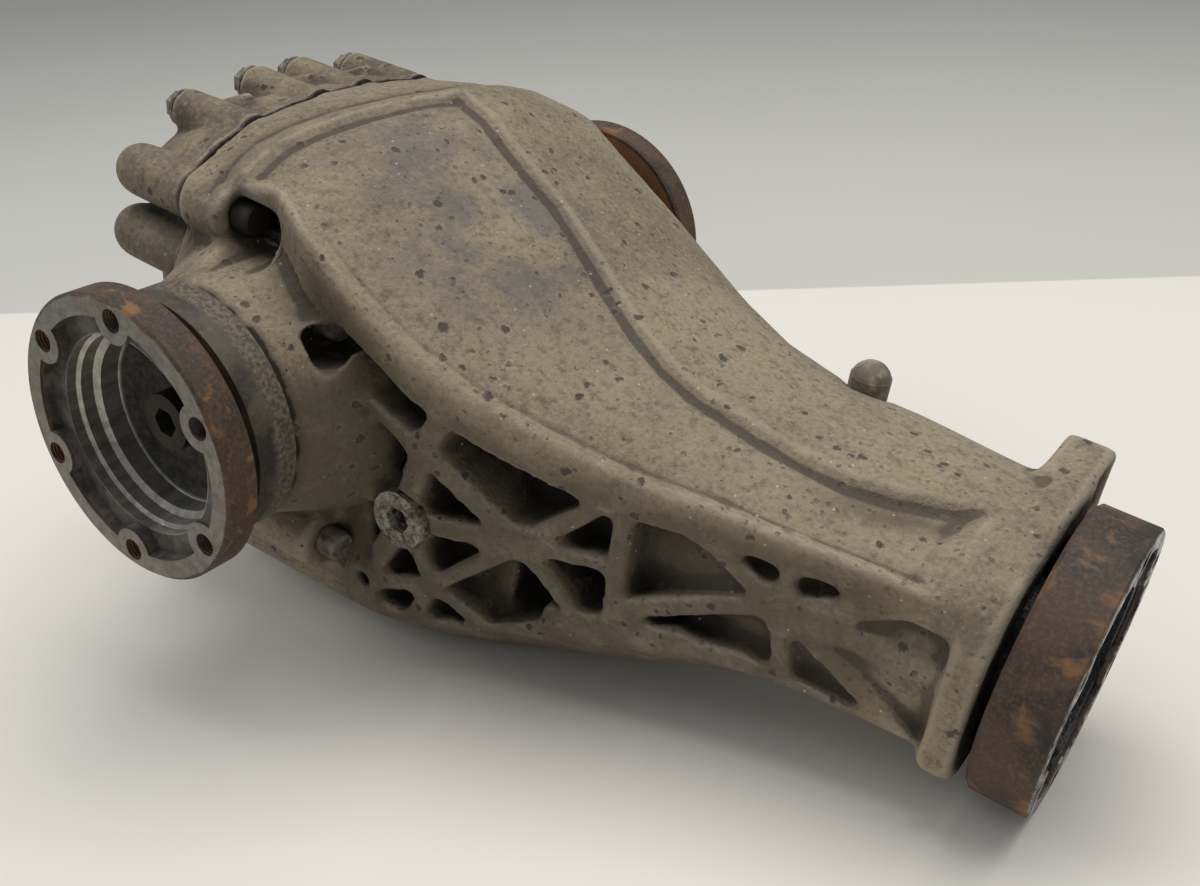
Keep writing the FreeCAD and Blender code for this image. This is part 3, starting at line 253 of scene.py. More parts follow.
class Surface:
    """A procedural material under construction, in the part's own coordinates."""

    def __init__(self, name):
        self.material = bpy.data.materials.new(name)
        self.material.use_nodes = True
        self.tree = self.material.node_tree
        self.shader = self.tree.nodes["Principled BSDF"]
        self.place = self.node("ShaderNodeTexCoord").outputs["Object"]
        self.height = None

    def node(self, kind, **settings):
        made = self.tree.nodes.new(kind)
        for key, value in settings.items():
            setattr(made, key, value)
        return made

    def feed(self, socket, value):
        if isinstance(value, bpy.types.NodeSocket):
            self.tree.links.new(value, socket)
        elif isinstance(value, tuple) and len(value) == 3 and socket.type == "RGBA":
            socket.default_value = value + (1.0,)
        else:
            socket.default_value = value

    # Numbers

    def math(self, operation, first, second=0.0, third=0.0):
        made = self.node("ShaderNodeMath", operation=operation)
        self.feed(made.inputs[0], first)
        self.feed(made.inputs[1], second)
        self.feed(made.inputs[2], third)
        return made.outputs[0]

    def scaled(self, value, factor):
        return self.math("MULTIPLY", value, factor)

    def plus(self, value, other, share):
        """The value with a share of another one added."""
        return self.math("ADD", value, self.scaled(other, share))

    def without(self, mask, share=1.0):
        """1 where the mask is 0, and 1 less the share where it is 1."""
        return self.math("SUBTRACT", 1.0, mask if share == 1.0 else self.scaled(mask, share))

    def swing(self, value, amount):
        """How far a noise is from its middle, times the amount."""
        return self.scaled(self.math("SUBTRACT", value, 0.5), amount)

    def both(self, *masks):
        """Where all the masks are 1."""
        product = masks[0]
        for mask in masks[1:]:
            product = self.math("MULTIPLY", product, mask)
        return product

    def between(self, value, start, end):
        """0 up to start, 1 from end on, smooth between; start may be the larger."""
        made = self.node("ShaderNodeMapRange", interpolation_type="SMOOTHSTEP")
        self.feed(made.inputs["Value"], value)
        self.feed(made.inputs["From Min"], start)
        self.feed(made.inputs["From Max"], end)
        return made.outputs["Result"]

    def blend(self, factor, first, second):
        """A number between two others."""
        made = self.node("ShaderNodeMix")
        self.feed(made.inputs["Factor"], factor)
        self.feed(made.inputs[NUMBER_A], first)
        self.feed(made.inputs[NUMBER_B], second)
        return made.outputs[NUMBER_RESULT]

    # Patterns

    def noise(self, scale, detail=4.0, roughness=0.55, stretch=None, warp=0.0):
        vector = self.place if stretch is None else self.stretched(self.place, stretch)
        made = self.node("ShaderNodeTexNoise")
        self.feed(made.inputs["Vector"], vector)
        self.feed(made.inputs["Scale"], scale)
        self.feed(made.inputs["Detail"], detail)
        self.feed(made.inputs["Roughness"], roughness)
        self.feed(made.inputs["Distortion"], warp)
        return made.outputs["Fac"]

    def cells(self, scale, warp=0.0):
        """Distance to scattered points, and a random number per point."""
        vector = self.place
        if warp:
            wobble = self.node("ShaderNodeTexNoise")
            self.feed(wobble.inputs["Vector"], self.place)
            self.feed(wobble.inputs["Scale"], scale * 2.5)
            add = self.node("ShaderNodeVectorMath", operation="MULTIPLY_ADD")
            self.feed(add.inputs[0], wobble.outputs["Color"])
            add.inputs[1].default_value = (warp, warp, warp)
            self.feed(add.inputs[2], self.place)
            vector = add.outputs[0]
        made = self.node("ShaderNodeTexVoronoi")
        self.feed(made.inputs["Vector"], vector)
        self.feed(made.inputs["Scale"], scale)
        pick = self.node("ShaderNodeSeparateColor")
        self.feed(pick.inputs[0], made.outputs["Color"])
        return made.outputs["Distance"], pick.outputs[0]

    def attribute(self, name):
        return self.node("ShaderNodeAttribute", attribute_name=name).outputs["Fac"]

    # Places

    def stretched(self, vector, factors):
        made = self.node("ShaderNodeVectorMath", operation="MULTIPLY")
        self.feed(made.inputs[0], vector)
        made.inputs[1].default_value = factors
        return made.outputs[0]

    def axis(self, index):
        made = self.node("ShaderNodeSeparateXYZ")
        self.feed(made.inputs[0], self.place)
        return made.outputs[index]

    def distance(self, centre, stretch=(1.0, 1.0, 1.0)):
        """Distance from a point, with each axis scaled."""
        away = self.node("ShaderNodeVectorMath", operation="SUBTRACT")
        self.feed(away.inputs[0], self.place)
        away.inputs[1].default_value = centre
        length = self.node("ShaderNodeVectorMath", operation="LENGTH")
        self.feed(length.inputs[0], self.stretched(away.outputs[0], stretch))
        return length.outputs["Value"]

    def radius_about_axle(self):
        return self.distance((0.0, 0.0, 0.0), (1.0, 0.0, 1.0))

    def radius_about_input(self):
        return self.distance((0.0, 0.0, INPUT_Z), (0.0, 1.0, 1.0))

    # Colour and relief

    def mix(self, factor, first, second):
        """A colour between two others."""
        made = self.node("ShaderNodeMix", data_type="RGBA")
        self.feed(made.inputs["Factor"], factor)
        self.feed(made.inputs[COLOUR_A], first)
        self.feed(made.inputs[COLOUR_B], second)
        return made.outputs[COLOUR_RESULT]

    def tint(self, colour, mask, amount, other):
        """The colour, turned towards another one by the amount where the mask is 1."""
        return self.mix(self.scaled(mask, amount), colour, other)

    def add_height(self, value, amount):
        """Add a height in metres to the relief."""
        raised = self.scaled(value, amount)
        self.height = raised if self.height is None else self.math("ADD", self.height, raised)

    def done(self, colour, roughness, metallic=0.0, specular=0.5):
        self.feed(self.shader.inputs["Base Color"], colour)
        self.feed(self.shader.inputs["Roughness"], roughness)
        self.feed(self.shader.inputs["Metallic"], metallic)
        self.shader.inputs["Specular IOR Level"].default_value = specular
        if self.height is not None:
            bump = self.node("ShaderNodeBump")
            bump.inputs["Strength"].default_value = 1.0
            bump.inputs["Distance"].default_value = 1.0
            self.feed(bump.inputs["Height"], self.height)
            self.feed(self.shader.inputs["Normal"], bump.outputs["Normal"])
        return self.material


# ---------------------------------------------------------------- the castings' finish

HOUSING_PALE = (0.272, 0.222, 0.156)
HOUSING_DEEP = (0.178, 0.146, 0.101)
COVER_PALE = (0.168, 0.137, 0.096)
COVER_DEEP = (0.094, 0.076, 0.053)
TAN_OXIDE = (0.285, 0.228, 0.142)
DARK_MOTTLE = (0.098, 0.080, 0.055)
SAND = (0.385, 0.325, 0.235)
SAND_SHADOW = (0.080, 0.067, 0.048)
SOOT = (0.098, 0.097, 0.098)
# Grime for the hollows, which also paints the shade there: dirt and painted shade.
HOLLOW_GRIME_AND_SHADE = (0.046, 0.037, 0.026)
# Flank colour: dirt, and painted shade on the faces turned sideways from the light.
FLANK_SHADE_AND_DIRT = (0.074, 0.058, 0.038)
# Pocket colours, given by how walled in a surface is: dust with painted shade, then near-black
# painted shade.
POCKET_DUST_AND_SHADE = (0.074, 0.057, 0.037)
POCKET_PAINTED_SHADE = (0.008, 0.007, 0.005)
# Crease colour: dirt and painted shade.
CREASE_DIRT_AND_SHADE = (0.045, 0.037, 0.027)
# Pale metal for convex edges: wear, and a painted highlight.
WORN_ALLOY_AND_HIGHLIGHT = (0.400, 0.345, 0.260)
PIT_RING = (0.400, 0.350, 0.270)
PIT = (0.048, 0.034, 0.028)
SMALL_PIT = (0.070, 0.054, 0.042)
PALE_SPECK = (0.560, 0.520, 0.440)

SMALLEST_PIT = 0.08
LARGEST_PIT = 0.30
SOOT_PLACE = (60 * MM, -30 * MM, 74 * MM)
SOOT_RADII = (62 * MM, 18 * MM)


def pits(s, scale, share, warp):
    """Scattered irregular spots: a 0 to 1 mask of them and one of the pale ring round each."""
    reach, pick = s.cells(scale, warp=warp)
    size = s.math("MULTIPLY_ADD", pick, LARGEST_PIT - SMALLEST_PIT, SMALLEST_PIT)
    chosen = s.between(s.noise(scale * 0.6, 2.0, 0.5), 1.0 - share, 1.04 - share)
    ragged = s.plus(reach, s.noise(scale * 5.0, 4.0, 0.65), 0.26)
    spot = s.both(s.between(ragged, s.math("ADD", size, 0.13), size), chosen)
    ring = s.both(s.between(ragged, s.math("ADD", size, 0.26), size), chosen)
    return spot, ring


def casting_skin(s, pale, deep, blotch, mottle, grain):
    """Oxidised alloy: broad clouds of two tones, tan blotches, dark mottling and a sandy grain."""
    colour = s.mix(s.between(s.noise(14.0, 3.0, 0.5), 0.35, 0.65), deep, pale)
    colour = s.tint(colour, s.between(blotch, 0.42, 0.68), 0.50, TAN_OXIDE)
    colour = s.tint(colour, s.between(mottle, 0.52, 0.32), 0.62, DARK_MOTTLE)
    colour = s.tint(colour, s.between(grain, 0.48, 0.75), 0.40, SAND)
    colour = s.tint(colour, s.between(grain, 0.50, 0.25), 0.50, SAND_SHADOW)
    soot = s.between(s.distance(SOOT_PLACE, (0.75, 1.0, 1.0)), *SOOT_RADII)
    soot = s.both(soot, s.between(s.noise(38.0, 4.0, 0.6), 0.36, 0.62))
    return s.tint(colour, soot, 0.66, SOOT)


def casting_dirt_and_shade(s, colour, grime_and_shade_start, blotch, mottle):
    """Dirt together with painted shade: darker in hollows, on the flanks and, blackest, in walled-in
    pockets.
    """
    hollow = s.math("ADD", s.attribute("hollow"), s.swing(blotch, 3.0))
    # Hollows darken towards grime: dirt and painted shade.
    colour = s.tint(colour, s.between(hollow, grime_and_shade_start, grime_and_shade_start + 3.2), 0.62, HOLLOW_GRIME_AND_SHADE)
    # How walled in a vertex is, from the ray casts, paints shade into pockets: dusty and shaded
    # first, near black deep inside.
    dirt = s.math("ADD", s.attribute("shelter"), s.swing(mottle, 0.30))
    # Sideways faces below the lip darken: dirt and painted shade, with silt in the grooves.
    flank = s.both(s.attribute("flank"), s.between(s.math("ADD", blotch, dirt), 0.20, 0.62))
    colour = s.tint(colour, flank, 0.72, FLANK_SHADE_AND_DIRT)
    colour = s.tint(colour, s.between(dirt, 0.10, 0.34), 0.60, POCKET_DUST_AND_SHADE)
    return s.tint(colour, s.between(dirt, 0.34, 0.60), 0.94, POCKET_PAINTED_SHADE)


def casting_edges(s, colour, mottle, grain):
    """Creases darkened with dirt and painted shade, and pale worn metal with a painted highlight on
    the outer edges away from the darkened flanks.
    """
    edge = s.attribute("edge")
    # Fine concave creases darken: dirt and painted shade.
    crease = s.between(s.plus(edge, grain, 0.10), 0.10, 0.26)
    colour = s.tint(colour, crease, 0.70, CREASE_DIRT_AND_SHADE)
    # Convex outer edges turn pale: metal worn bare, with a painted highlight.
    worn = s.between(s.plus(edge, mottle, 0.26), -0.02, -0.22)
    worn = s.both(worn, s.without(s.attribute("flank"), 0.75))
    return s.tint(colour, worn, 0.38, WORN_ALLOY_AND_HIGHLIGHT)


def weathered_casting(name, pale, deep, grime_and_shade_start):
    """Oxidised sand-cast alloy with road dirt and painted shade in its hollows, pockets and flanks,
    worn edges with a painted highlight, pits and specks.
    """
    s = Surface(name)
    blotch = s.noise(70.0, 5.0, 0.6)
    mottle = s.noise(210.0, 5.0, 0.7)
    grain = s.noise(520.0, 4.0, 0.6)
    fine = s.noise(1500.0, 2.0, 0.5)
    colour = casting_skin(s, pale, deep, blotch, mottle, grain)
    colour = casting_dirt_and_shade(s, colour, grime_and_shade_start, blotch, mottle)
    colour = casting_edges(s, colour, mottle, grain)
    spot, ring = pits(s, 125.0, 0.56, 3 * MM)
    colour = s.tint(colour, ring, 0.22, PIT_RING)
    colour = s.tint(colour, spot, 0.86, PIT)
    small, _ = pits(s, 260.0, 0.54, 2 * MM)
    colour = s.tint(colour, small, 0.55, SMALL_PIT)
    speck_reach, speck_pick = s.cells(300.0)
    speck = s.between(s.plus(speck_reach, grain, 0.25), 0.34, 0.20)
    speck = s.both(speck, s.between(speck_pick, 0.93, 0.95))
    colour = s.tint(colour, speck, 0.55, PALE_SPECK)
    s.add_height(grain, 0.42 * MM)
    s.add_height(fine, 0.08 * MM)
    s.add_height(mottle, 0.85 * MM)
    s.add_height(blotch, 0.50 * MM)
    s.add_height(spot, -0.60 * MM)
    s.add_height(small, -0.30 * MM)
    return s.done(colour, s.plus(0.66, grain, 0.25), 0.0, 0.35)


# ---------------------------------------------------------------- the flanges' finish

# Zones of a flange, as pairs: where the zone has faded out and where it is full. Depths run inward
# from the outer face, and radii outward from the shaft's axis.
OUTPUT_FACE_DEPTH = (0.7 * MM, 0.3 * MM)
OUTPUT_FACE_RIM = (53.2 * MM, 52.4 * MM)
BELOW_OUTPUT_FACE = (0.8 * MM, 1.4 * MM)
LOBE_FLOOR = (5.8 * MM, 5.4 * MM)
LOBE_RIM = (47.0 * MM, 46.6 * MM)
BORE_TOP = (4.5 * MM, 5.2 * MM)
BORE_FLOOR = (26.2 * MM, 25.5 * MM)
BORE_WALL = (38.4 * MM, 38.0 * MM)
CUP_TOP = (23.8 * MM, 25.0 * MM)
CUP_WALL = (34.8 * MM, 34.2 * MM)
BOLT_HOLE_OUTER = (52.0 * MM, 51.2 * MM)
BOLT_HOLE_INNER = (42.5 * MM, 43.2 * MM)
THREAD_PITCH = 1.25 * MM
FACE_RING_SPACING = 0.9 * MM

INPUT_FACE_DEPTH = (0.8 * MM, 0.3 * MM)
INPUT_FACE_RIM = (52.6 * MM, 52.0 * MM)
RECESS_TOP = (0.8 * MM, 2.0 * MM)
RECESS_WALL = (47.0 * MM, 46.2 * MM)
TAR_DEPTH = (9.0 * MM, 2.0 * MM)

OUTPUT_RUST = ((0.024, 0.015, 0.010), (0.064, 0.036, 0.020), (0.235, 0.108, 0.030))
INPUT_RUST = ((0.022, 0.014, 0.010), (0.062, 0.036, 0.022), (0.210, 0.100, 0.035))
RUST_GRIT = (0.160, 0.100, 0.060)
THREAD_RUST = (0.200, 0.088, 0.030)
FACE_STAIN = (0.120, 0.082, 0.050)
FACE_STEEL = ((0.098, 0.090, 0.076), (0.182, 0.170, 0.148))
BORE_STEEL = ((0.250, 0.237, 0.210), (0.430, 0.410, 0.370))
LOBE_STEEL = ((0.030, 0.026, 0.022), (0.115, 0.102, 0.088))
CUP_SCALE = ((0.010, 0.009, 0.007), (0.050, 0.043, 0.034))
RECESS_GREASE = ((0.006, 0.006, 0.007), (0.050, 0.050, 0.050))
TAR = (0.010, 0.009, 0.009)
BARE_FACE = (0.330, 0.330, 0.320)


def rusted_steel(s, dark, brown, orange):
    """Colour and roughness of a rusted forging: brown scale with lighter orange patches."""
    broad = s.noise(45.0, 5.0, 0.6, warp=0.4)
    patch = s.noise(80.0, 4.0, 0.55, warp=0.8)
    grit = s.noise(700.0, 3.0, 0.6)
    colour = s.mix(s.between(broad, 0.35, 0.62), dark, brown)
    colour = s.tint(colour, s.between(patch, 0.56, 0.70), 0.75, orange)
    colour = s.tint(colour, s.between(grit, 0.42, 0.75), 0.4, RUST_GRIT)
    s.add_height(grit, 0.20 * MM)
    s.add_height(patch, 0.35 * MM)
    return colour, s.plus(0.55, broad, 0.35)


def turned_rings(s, radius, along, spacing):
    """Fine tool marks that run round a turned face or bore."""
    return s.math("SINE", s.scaled(s.math("ADD", radius, along), 2 * math.pi / spacing))


def output_flange_material():
    """Rusty rim, stained machined face, bright stepped bore, dark cup and rusty bolt threads."""
    s = Surface("output_flange_steel")
    rust, rust_rough = rusted_steel(s, *OUTPUT_RUST)
    radius = s.radius_about_axle()
    depth = s.math("SUBTRACT", OUTPUT_FACE, s.math("ABSOLUTE", s.axis(1)))
    stain = s.noise(110.0, 5.0, 0.65)
    scratch = s.noise(260.0, 4.0, 0.6, stretch=(1.0, 0.2, 1.0))
    pebble = s.noise(420.0, 4.0, 0.6)
    below_face = s.between(depth, *BELOW_OUTPUT_FACE)

    ragged_radius = s.math("ADD", radius, s.swing(stain, 2.2 * MM))
    face = s.both(s.between(depth, *OUTPUT_FACE_DEPTH), s.between(ragged_radius, *OUTPUT_FACE_RIM))
    lobe = s.both(below_face, s.between(depth, *LOBE_FLOOR), s.between(radius, *LOBE_RIM))
    bore = s.both(s.between(radius, *BORE_WALL), s.between(depth, *BORE_FLOOR),
                  s.between(depth, *BORE_TOP))
    cup = s.both(s.between(depth, *CUP_TOP), s.between(radius, *CUP_WALL))
    thread = s.both(below_face, s.between(radius, *BOLT_HOLE_OUTER),
                    s.between(radius, *BOLT_HOLE_INNER), s.without(lobe))
    turns = s.math("SINE", s.scaled(depth, 2 * math.pi / THREAD_PITCH))
    s.add_height(s.both(turns, thread), 0.25 * MM)

    steel = s.mix(s.between(scratch, 0.3, 0.7), *FACE_STEEL)
    steel = s.tint(steel, s.between(stain, 0.50, 0.70), 0.6, FACE_STAIN)
    colour = s.tint(rust, thread, 0.7, THREAD_RUST)
    colour = s.mix(lobe, colour, s.mix(s.between(stain, 0.35, 0.65), *LOBE_STEEL))
    colour = s.mix(face, colour, steel)
    colour = s.mix(bore, colour, s.mix(s.between(scratch, 0.3, 0.7), *BORE_STEEL))
    colour = s.mix(cup, colour, s.mix(s.between(pebble, 0.35, 0.7), *CUP_SCALE))

    shine = s.both(s.math("MAXIMUM", s.scaled(face, 0.80), bore), s.without(cup))
    rough = s.blend(shine, rust_rough, s.plus(0.24, scratch, 0.12))
    s.add_height(s.both(turned_rings(s, radius, depth, FACE_RING_SPACING), shine), 0.008 * MM)
    return s.done(colour, rough, s.scaled(shine, 0.75), 0.5)


def input_flange_material():
    """A dark rusted flange with a bright worn rim edge, tar patches and a greasy black recess."""
    s = Surface("input_flange_steel")
    rust, rust_rough = rusted_steel(s, *INPUT_RUST)
    radius = s.radius_about_input()
    depth = s.math("SUBTRACT", INPUT_FACE, s.axis(0))
    chips = s.noise(160.0, 5.0, 0.7)

    face = s.both(s.between(depth, *INPUT_FACE_DEPTH), s.between(radius, *INPUT_FACE_RIM),
                  s.between(chips, 0.40, 0.56))
    recess = s.both(s.between(depth, *RECESS_TOP), s.between(radius, *RECESS_WALL))
    tar = s.both(s.between(depth, *TAR_DEPTH), s.between(s.noise(38.0, 4.0, 0.6), 0.50, 0.58))

    colour = s.tint(rust, tar, 0.85, TAR)
    colour = s.mix(recess, colour, s.mix(s.between(chips, 0.5, 0.7), *RECESS_GREASE))
    colour = s.tint(colour, face, 0.85, BARE_FACE)
    rough = s.blend(s.math("MAXIMUM", face, recess), rust_rough, 0.30)
    s.add_height(s.both(chips, recess), 1.2 * MM)
    return s.done(colour, rough, s.scaled(face, 0.8), 0.5)


# ---------------------------------------------------------------- the small parts' finishes

# Where dirt from the housing's neck is caked on the dust rings, measured along Y from the middle.
NECK_OUTER_END = (122.5 * MM, 119.5 * MM)
NECK_INNER_END = (100.0 * MM, 105.0 * MM)
# Where the heads of the high cover bolts sit in dark pockets and get painted shade: from which z up,
# and which x on.
POCKET_HEIGHT = (40.0 * MM, 50.0 * MM)
POCKET_START = (-30.0 * MM, -22.0 * MM)


def dusty_pressing():
    """Dark pressed steel with a film of dust, light rust and dirt caked near the housing."""
    s = Surface("pressed_steel_dusty")
    dust = s.noise(60.0, 5.0, 0.6)
    fine = s.noise(600.0, 3.0, 0.6)
    colour = s.mix(s.between(dust, 0.38, 0.68), (0.030, 0.027, 0.023), (0.090, 0.074, 0.053))
    colour = s.tint(colour, s.between(fine, 0.55, 0.75), 0.5, (0.190, 0.120, 0.060))
    ragged_place = s.plus(s.math("ABSOLUTE", s.axis(1)), dust, 4 * MM)
    caked = s.both(s.between(ragged_place, *NECK_OUTER_END), s.between(ragged_place, *NECK_INNER_END))
    crust = s.mix(s.between(fine, 0.35, 0.65), (0.060, 0.049, 0.034), (0.160, 0.132, 0.094))
    colour = s.tint(colour, caked, 0.90, crust)
    s.add_height(fine, 0.08 * MM)
    s.add_height(dust, 0.30 * MM)
    s.add_height(s.both(fine, caked), 0.40 * MM)
    return s.done(colour, s.plus(0.50, dust, 0.3), 0.10, 0.4)


def oily_rubber():
    s = Surface("seal_rubber_oily")
    film = s.noise(90.0, 4.0, 0.6)
    fine = s.noise(900.0, 2.0, 0.5)
    colour = s.mix(s.between(film, 0.4, 0.7), (0.010, 0.010, 0.010), (0.035, 0.030, 0.026))
    s.add_height(fine, 0.05 * MM)
    return s.done(colour, s.plus(0.38, film, 0.3), 0.0, 0.5)


def seam_gasket():
    s = Surface("gasket_sheet")
    fibre = s.noise(400.0, 5.0, 0.7)
    colour = s.mix(s.between(fibre, 0.35, 0.7), (0.030, 0.028, 0.026), (0.100, 0.085, 0.065))
    s.add_height(fibre, 0.10 * MM)
    return s.done(colour, 0.85, 0.0, 0.3)


def corroded_plug():
    """A plated plug with whitish corrosion, dark bare metal and brown stains."""
    s = Surface("plug_corroded")
    crust = s.noise(330.0, 6.0, 0.7, warp=0.6)
    broad = s.noise(120.0, 3.0, 0.5)
    colour = s.mix(s.between(crust, 0.38, 0.60), (0.055, 0.044, 0.032), (0.340, 0.310, 0.260))
    colour = s.tint(colour, s.between(crust, 0.60, 0.72), 0.8, (0.600, 0.580, 0.540))
    colour = s.tint(colour, s.between(broad, 0.52, 0.68), 0.5, (0.120, 0.080, 0.045))
    s.add_height(crust, 0.70 * MM)
    return s.done(colour, 0.75, 0.15, 0.4)


def aged_copper():
    s = Surface("copper_aged")
    film = s.noise(300.0, 4.0, 0.6)
    colour = s.mix(s.between(film, 0.35, 0.65), (0.220, 0.100, 0.050), (0.100, 0.075, 0.050))
    s.add_height(film, 0.08 * MM)
    return s.done(colour, s.plus(0.4, film, 0.3), 0.6, 0.5)


def dirty_plastic():
    s = Surface("breather_cap_dirty")
    dust = s.noise(160.0, 5.0, 0.65)
    colour = s.mix(s.between(dust, 0.42, 0.66), (0.130, 0.110, 0.080), (0.300, 0.250, 0.180))
    s.add_height(dust, 0.30 * MM)
    return s.done(colour, s.plus(0.5, dust, 0.3), 0.0, 0.4)


def road_worn_bolt_pocket_shaded():
    """Zinc-plated bolts gone grey-brown with dirt and spots of rust, with painted near-black shade
    inside the pocket.
    """
    s = Surface("bolt_road_worn")
    dirt = s.noise(150.0, 5.0, 0.65)
    rust = s.noise(240.0, 4.0, 0.6, warp=0.5)
    colour = s.mix(s.between(dirt, 0.36, 0.62), (0.060, 0.055, 0.050), (0.220, 0.190, 0.145))
    colour = s.tint(colour, s.between(rust, 0.56, 0.68), 0.7, (0.170, 0.085, 0.035))
    # Painted shade: bolt heads in the high pocket turn near black.
    pocket = s.both(s.between(s.axis(2), *POCKET_HEIGHT), s.between(s.axis(0), *POCKET_START))
    colour = s.tint(colour, pocket, 0.95, (0.014, 0.011, 0.008))
    s.add_height(dirt, 0.40 * MM)
    return s.done(colour, s.plus(0.5, dirt, 0.3), 0.20, 0.40)


def oiled_steel(name, pale, dark, roughness, turned=False):
    """Clean steel from inside the drive: oil film, faint wear and, where turned, tool rings."""
    s = Surface(name)
    film = s.noise(40.0, 4.0, 0.6)
    wear = s.noise(420.0, 3.0, 0.55)
    colour = s.mix(s.between(film, 0.35, 0.65), dark, pale)
    colour = s.tint(colour, s.between(wear, 0.55, 0.8), 0.35, (0.120, 0.100, 0.075))
    if turned:
        s.add_height(turned_rings(s, s.radius_about_input(), s.axis(0), 0.7 * MM), 0.006 * MM)
    s.add_height(wear, 0.04 * MM)
    return s.done(colour, s.plus(roughness, film, 0.15), 0.85, 0.5)


def oiled_iron():
    """Cast iron of the differential's case and caps: dark, grainy and oily."""
    s = Surface("cast_iron_oiled")
    grain = s.noise(480.0, 4.0, 0.6)
    film = s.noise(35.0, 4.0, 0.6)
    colour = s.mix(s.between(grain, 0.35, 0.7), (0.055, 0.050, 0.045), (0.150, 0.140, 0.130))
    colour = s.tint(colour, s.between(film, 0.5, 0.7), 0.5, (0.090, 0.070, 0.045))
    s.add_height(grain, 0.18 * MM)
    return s.done(colour, s.plus(0.42, film, 0.2), 0.4, 0.5)


def slot_materials():
    """One material for each of the record's material slots."""
    return {
        "cast_housing": weathered_casting("cast_alloy_housing", HOUSING_PALE, HOUSING_DEEP, 1.6),
        "cast_cover": weathered_casting("cast_alloy_cover", COVER_PALE, COVER_DEEP, 1.4),
        "output_flange": output_flange_material(),
        "input_flange": input_flange_material(),
        "pressed_steel": dusty_pressing(),
        "seal_rubber": oily_rubber(),
        "gasket": seam_gasket(),
        "corroded_plug": corroded_plug(),
        "copper_washer": aged_copper(),
        "breather": dirty_plastic(),
        "cover_bolt": road_worn_bolt_pocket_shaded(),
        "gear_steel": oiled_steel(
            "gear_steel_oiled", (0.42, 0.41, 0.39), (0.22, 0.20, 0.17), 0.28),
        "cast_iron": oiled_iron(),
        "bearing_steel": oiled_steel(
            "bearing_steel_ground", (0.60, 0.60, 0.59), (0.42, 0.41, 0.39), 0.16),
        "cage_steel": oiled_steel(
            "cage_steel_pressed", (0.36, 0.33, 0.27), (0.20, 0.18, 0.15), 0.32),
        "machined_steel": oiled_steel(
            "machined_steel_oiled", (0.46, 0.45, 0.43), (0.30, 0.28, 0.25), 0.26, turned=True),
    }


FINISH = slot_materials()


def paint_cad_nodes():
    """Give every CAD node its slot's finish; the flange bolts and the pinion's nut are greasy."""
    greasy = oiled_steel("flange_bolt_dirty", (0.050, 0.044, 0.036), (0.022, 0.019, 0.015), 0.50)
    for node, obj in NODES.items():
        in_grease = node.endswith("flange_bolt") or node == "pinion_nut"
        material = greasy if in_grease else FINISH[SLOT_OF[node]]
        if not obj.material_slots:
            obj.data.materials.append(material)
        for entry in obj.material_slots:
            entry.material = material


# ---------------------------------------------------------------- castings

HOUSING_VOXEL = 1.85 * MM
HOUSING_FACES = 198000
COVER_VOXEL = 1.5 * MM
SEAM_LIP = 1.2 * MM
SKIN_WAVE = 0.22 * MM

# Bores whose walls stay as machined: a radius, and from where to where along the axis.
BORE_HOLD_RADIUS = 38 * MM
AXLE_BORE = (-113 * MM, 113 * MM)
PINION_BORE = (40 * MM, 290 * MM)

# Hidden rooms whose walls may have coarser triangles.
CHAMBER_RADIUS = 86 * MM
CHAMBER_HALF = 62 * MM
PINION_ROOM_RADIUS = 42 * MM
PINION_ROOM = (40 * MM, 268 * MM)

# The top of the casting, as pairs: where it has faded out and where it is full.
FACING_UP = (0.35, 0.75)
ABOVE_ROOF = (0.0, 6 * MM)
TOP_START = (-38 * MM, -32 * MM)
TOP_END = (262 * MM, 250 * MM)

# The raised band along the left of the top: where its foot runs, as y at each x.
BAND_X = (0.000, 0.037, 0.067, 0.094, 0.122, 0.139, 0.155, 0.198, 0.215, 0.231, 0.249, 0.264)
BAND_Y = (0.019, 0.012, 0.007, -0.002, -0.014, -0.020, -0.022, -0.023, -0.022, -0.018, -0.010, -0.001)
BAND_HEIGHT = 3.0 * MM
BAND_SLOPE = (-4.5 * MM, 3.0 * MM)

# The raised ridge across the rear of the top: where its foot runs, as x at each y.
RIDGE_Y = (-0.060, 0.019)
RIDGE_X = (-0.014, 0.006)
RIDGE_SLOPE = (-3.0 * MM, 4.0 * MM)

# Grooves along the band and the ridge: where the middle lies past the foot, and the width.
BAND_GROOVE = (-3.6 * MM, 2.2 * MM)
RIDGE_GROOVE = (4.5 * MM, 1.7 * MM)
REAR_GROOVE = (-13.0 * MM, 3.4 * MM)
REAR_GROOVE_END = 6 * MM
REAR_GROOVE_SHARE = 1.5
GROOVE_DEPTH = 0.7 * MM
NOSE_VALLEY = (-10 * MM, 9 * MM)
NOSE_VALLEY_START = (0.185, 0.235)
VALLEY_DEPTH = 2.2 * MM

# Heights above which the skin is the outside and not a chamber's wall, as z at each x.
ROOF_X = (0.0, 0.1, 0.15, 0.28)
ROOF_Z = (0.045, 0.020, 0.005, 0.008)

# The lip between the top and the flanks, as z at each x; below it the flanks are darkened with dirt
# and painted shade.
LIP_X = (0.0, 0.050, 0.080, 0.115, 0.160, 0.275)
LIP_Z = (0.078, 0.054, 0.037, 0.022, 0.014, 0.019)
BELOW_LIP = (2 * MM, -10 * MM)
FACING_SIDEWAYS = (0.75, 0.35)
FLANK_START = (20 * MM, 34 * MM)
FLANK_END = (262 * MM, 235 * MM)


def finish_piece(piece, node):
    """Give a rebuilt piece its CAD node's body and the finish of its slot, and hide the CAD node."""
    piece.data.materials.clear()
    piece.data.materials.append(FINISH[SLOT_OF[node]])
    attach(piece, NODE_BODY[node])
    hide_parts(node)
    return piece


def within(values, ends):
    return (values > ends[0]) & (values < ends[1])


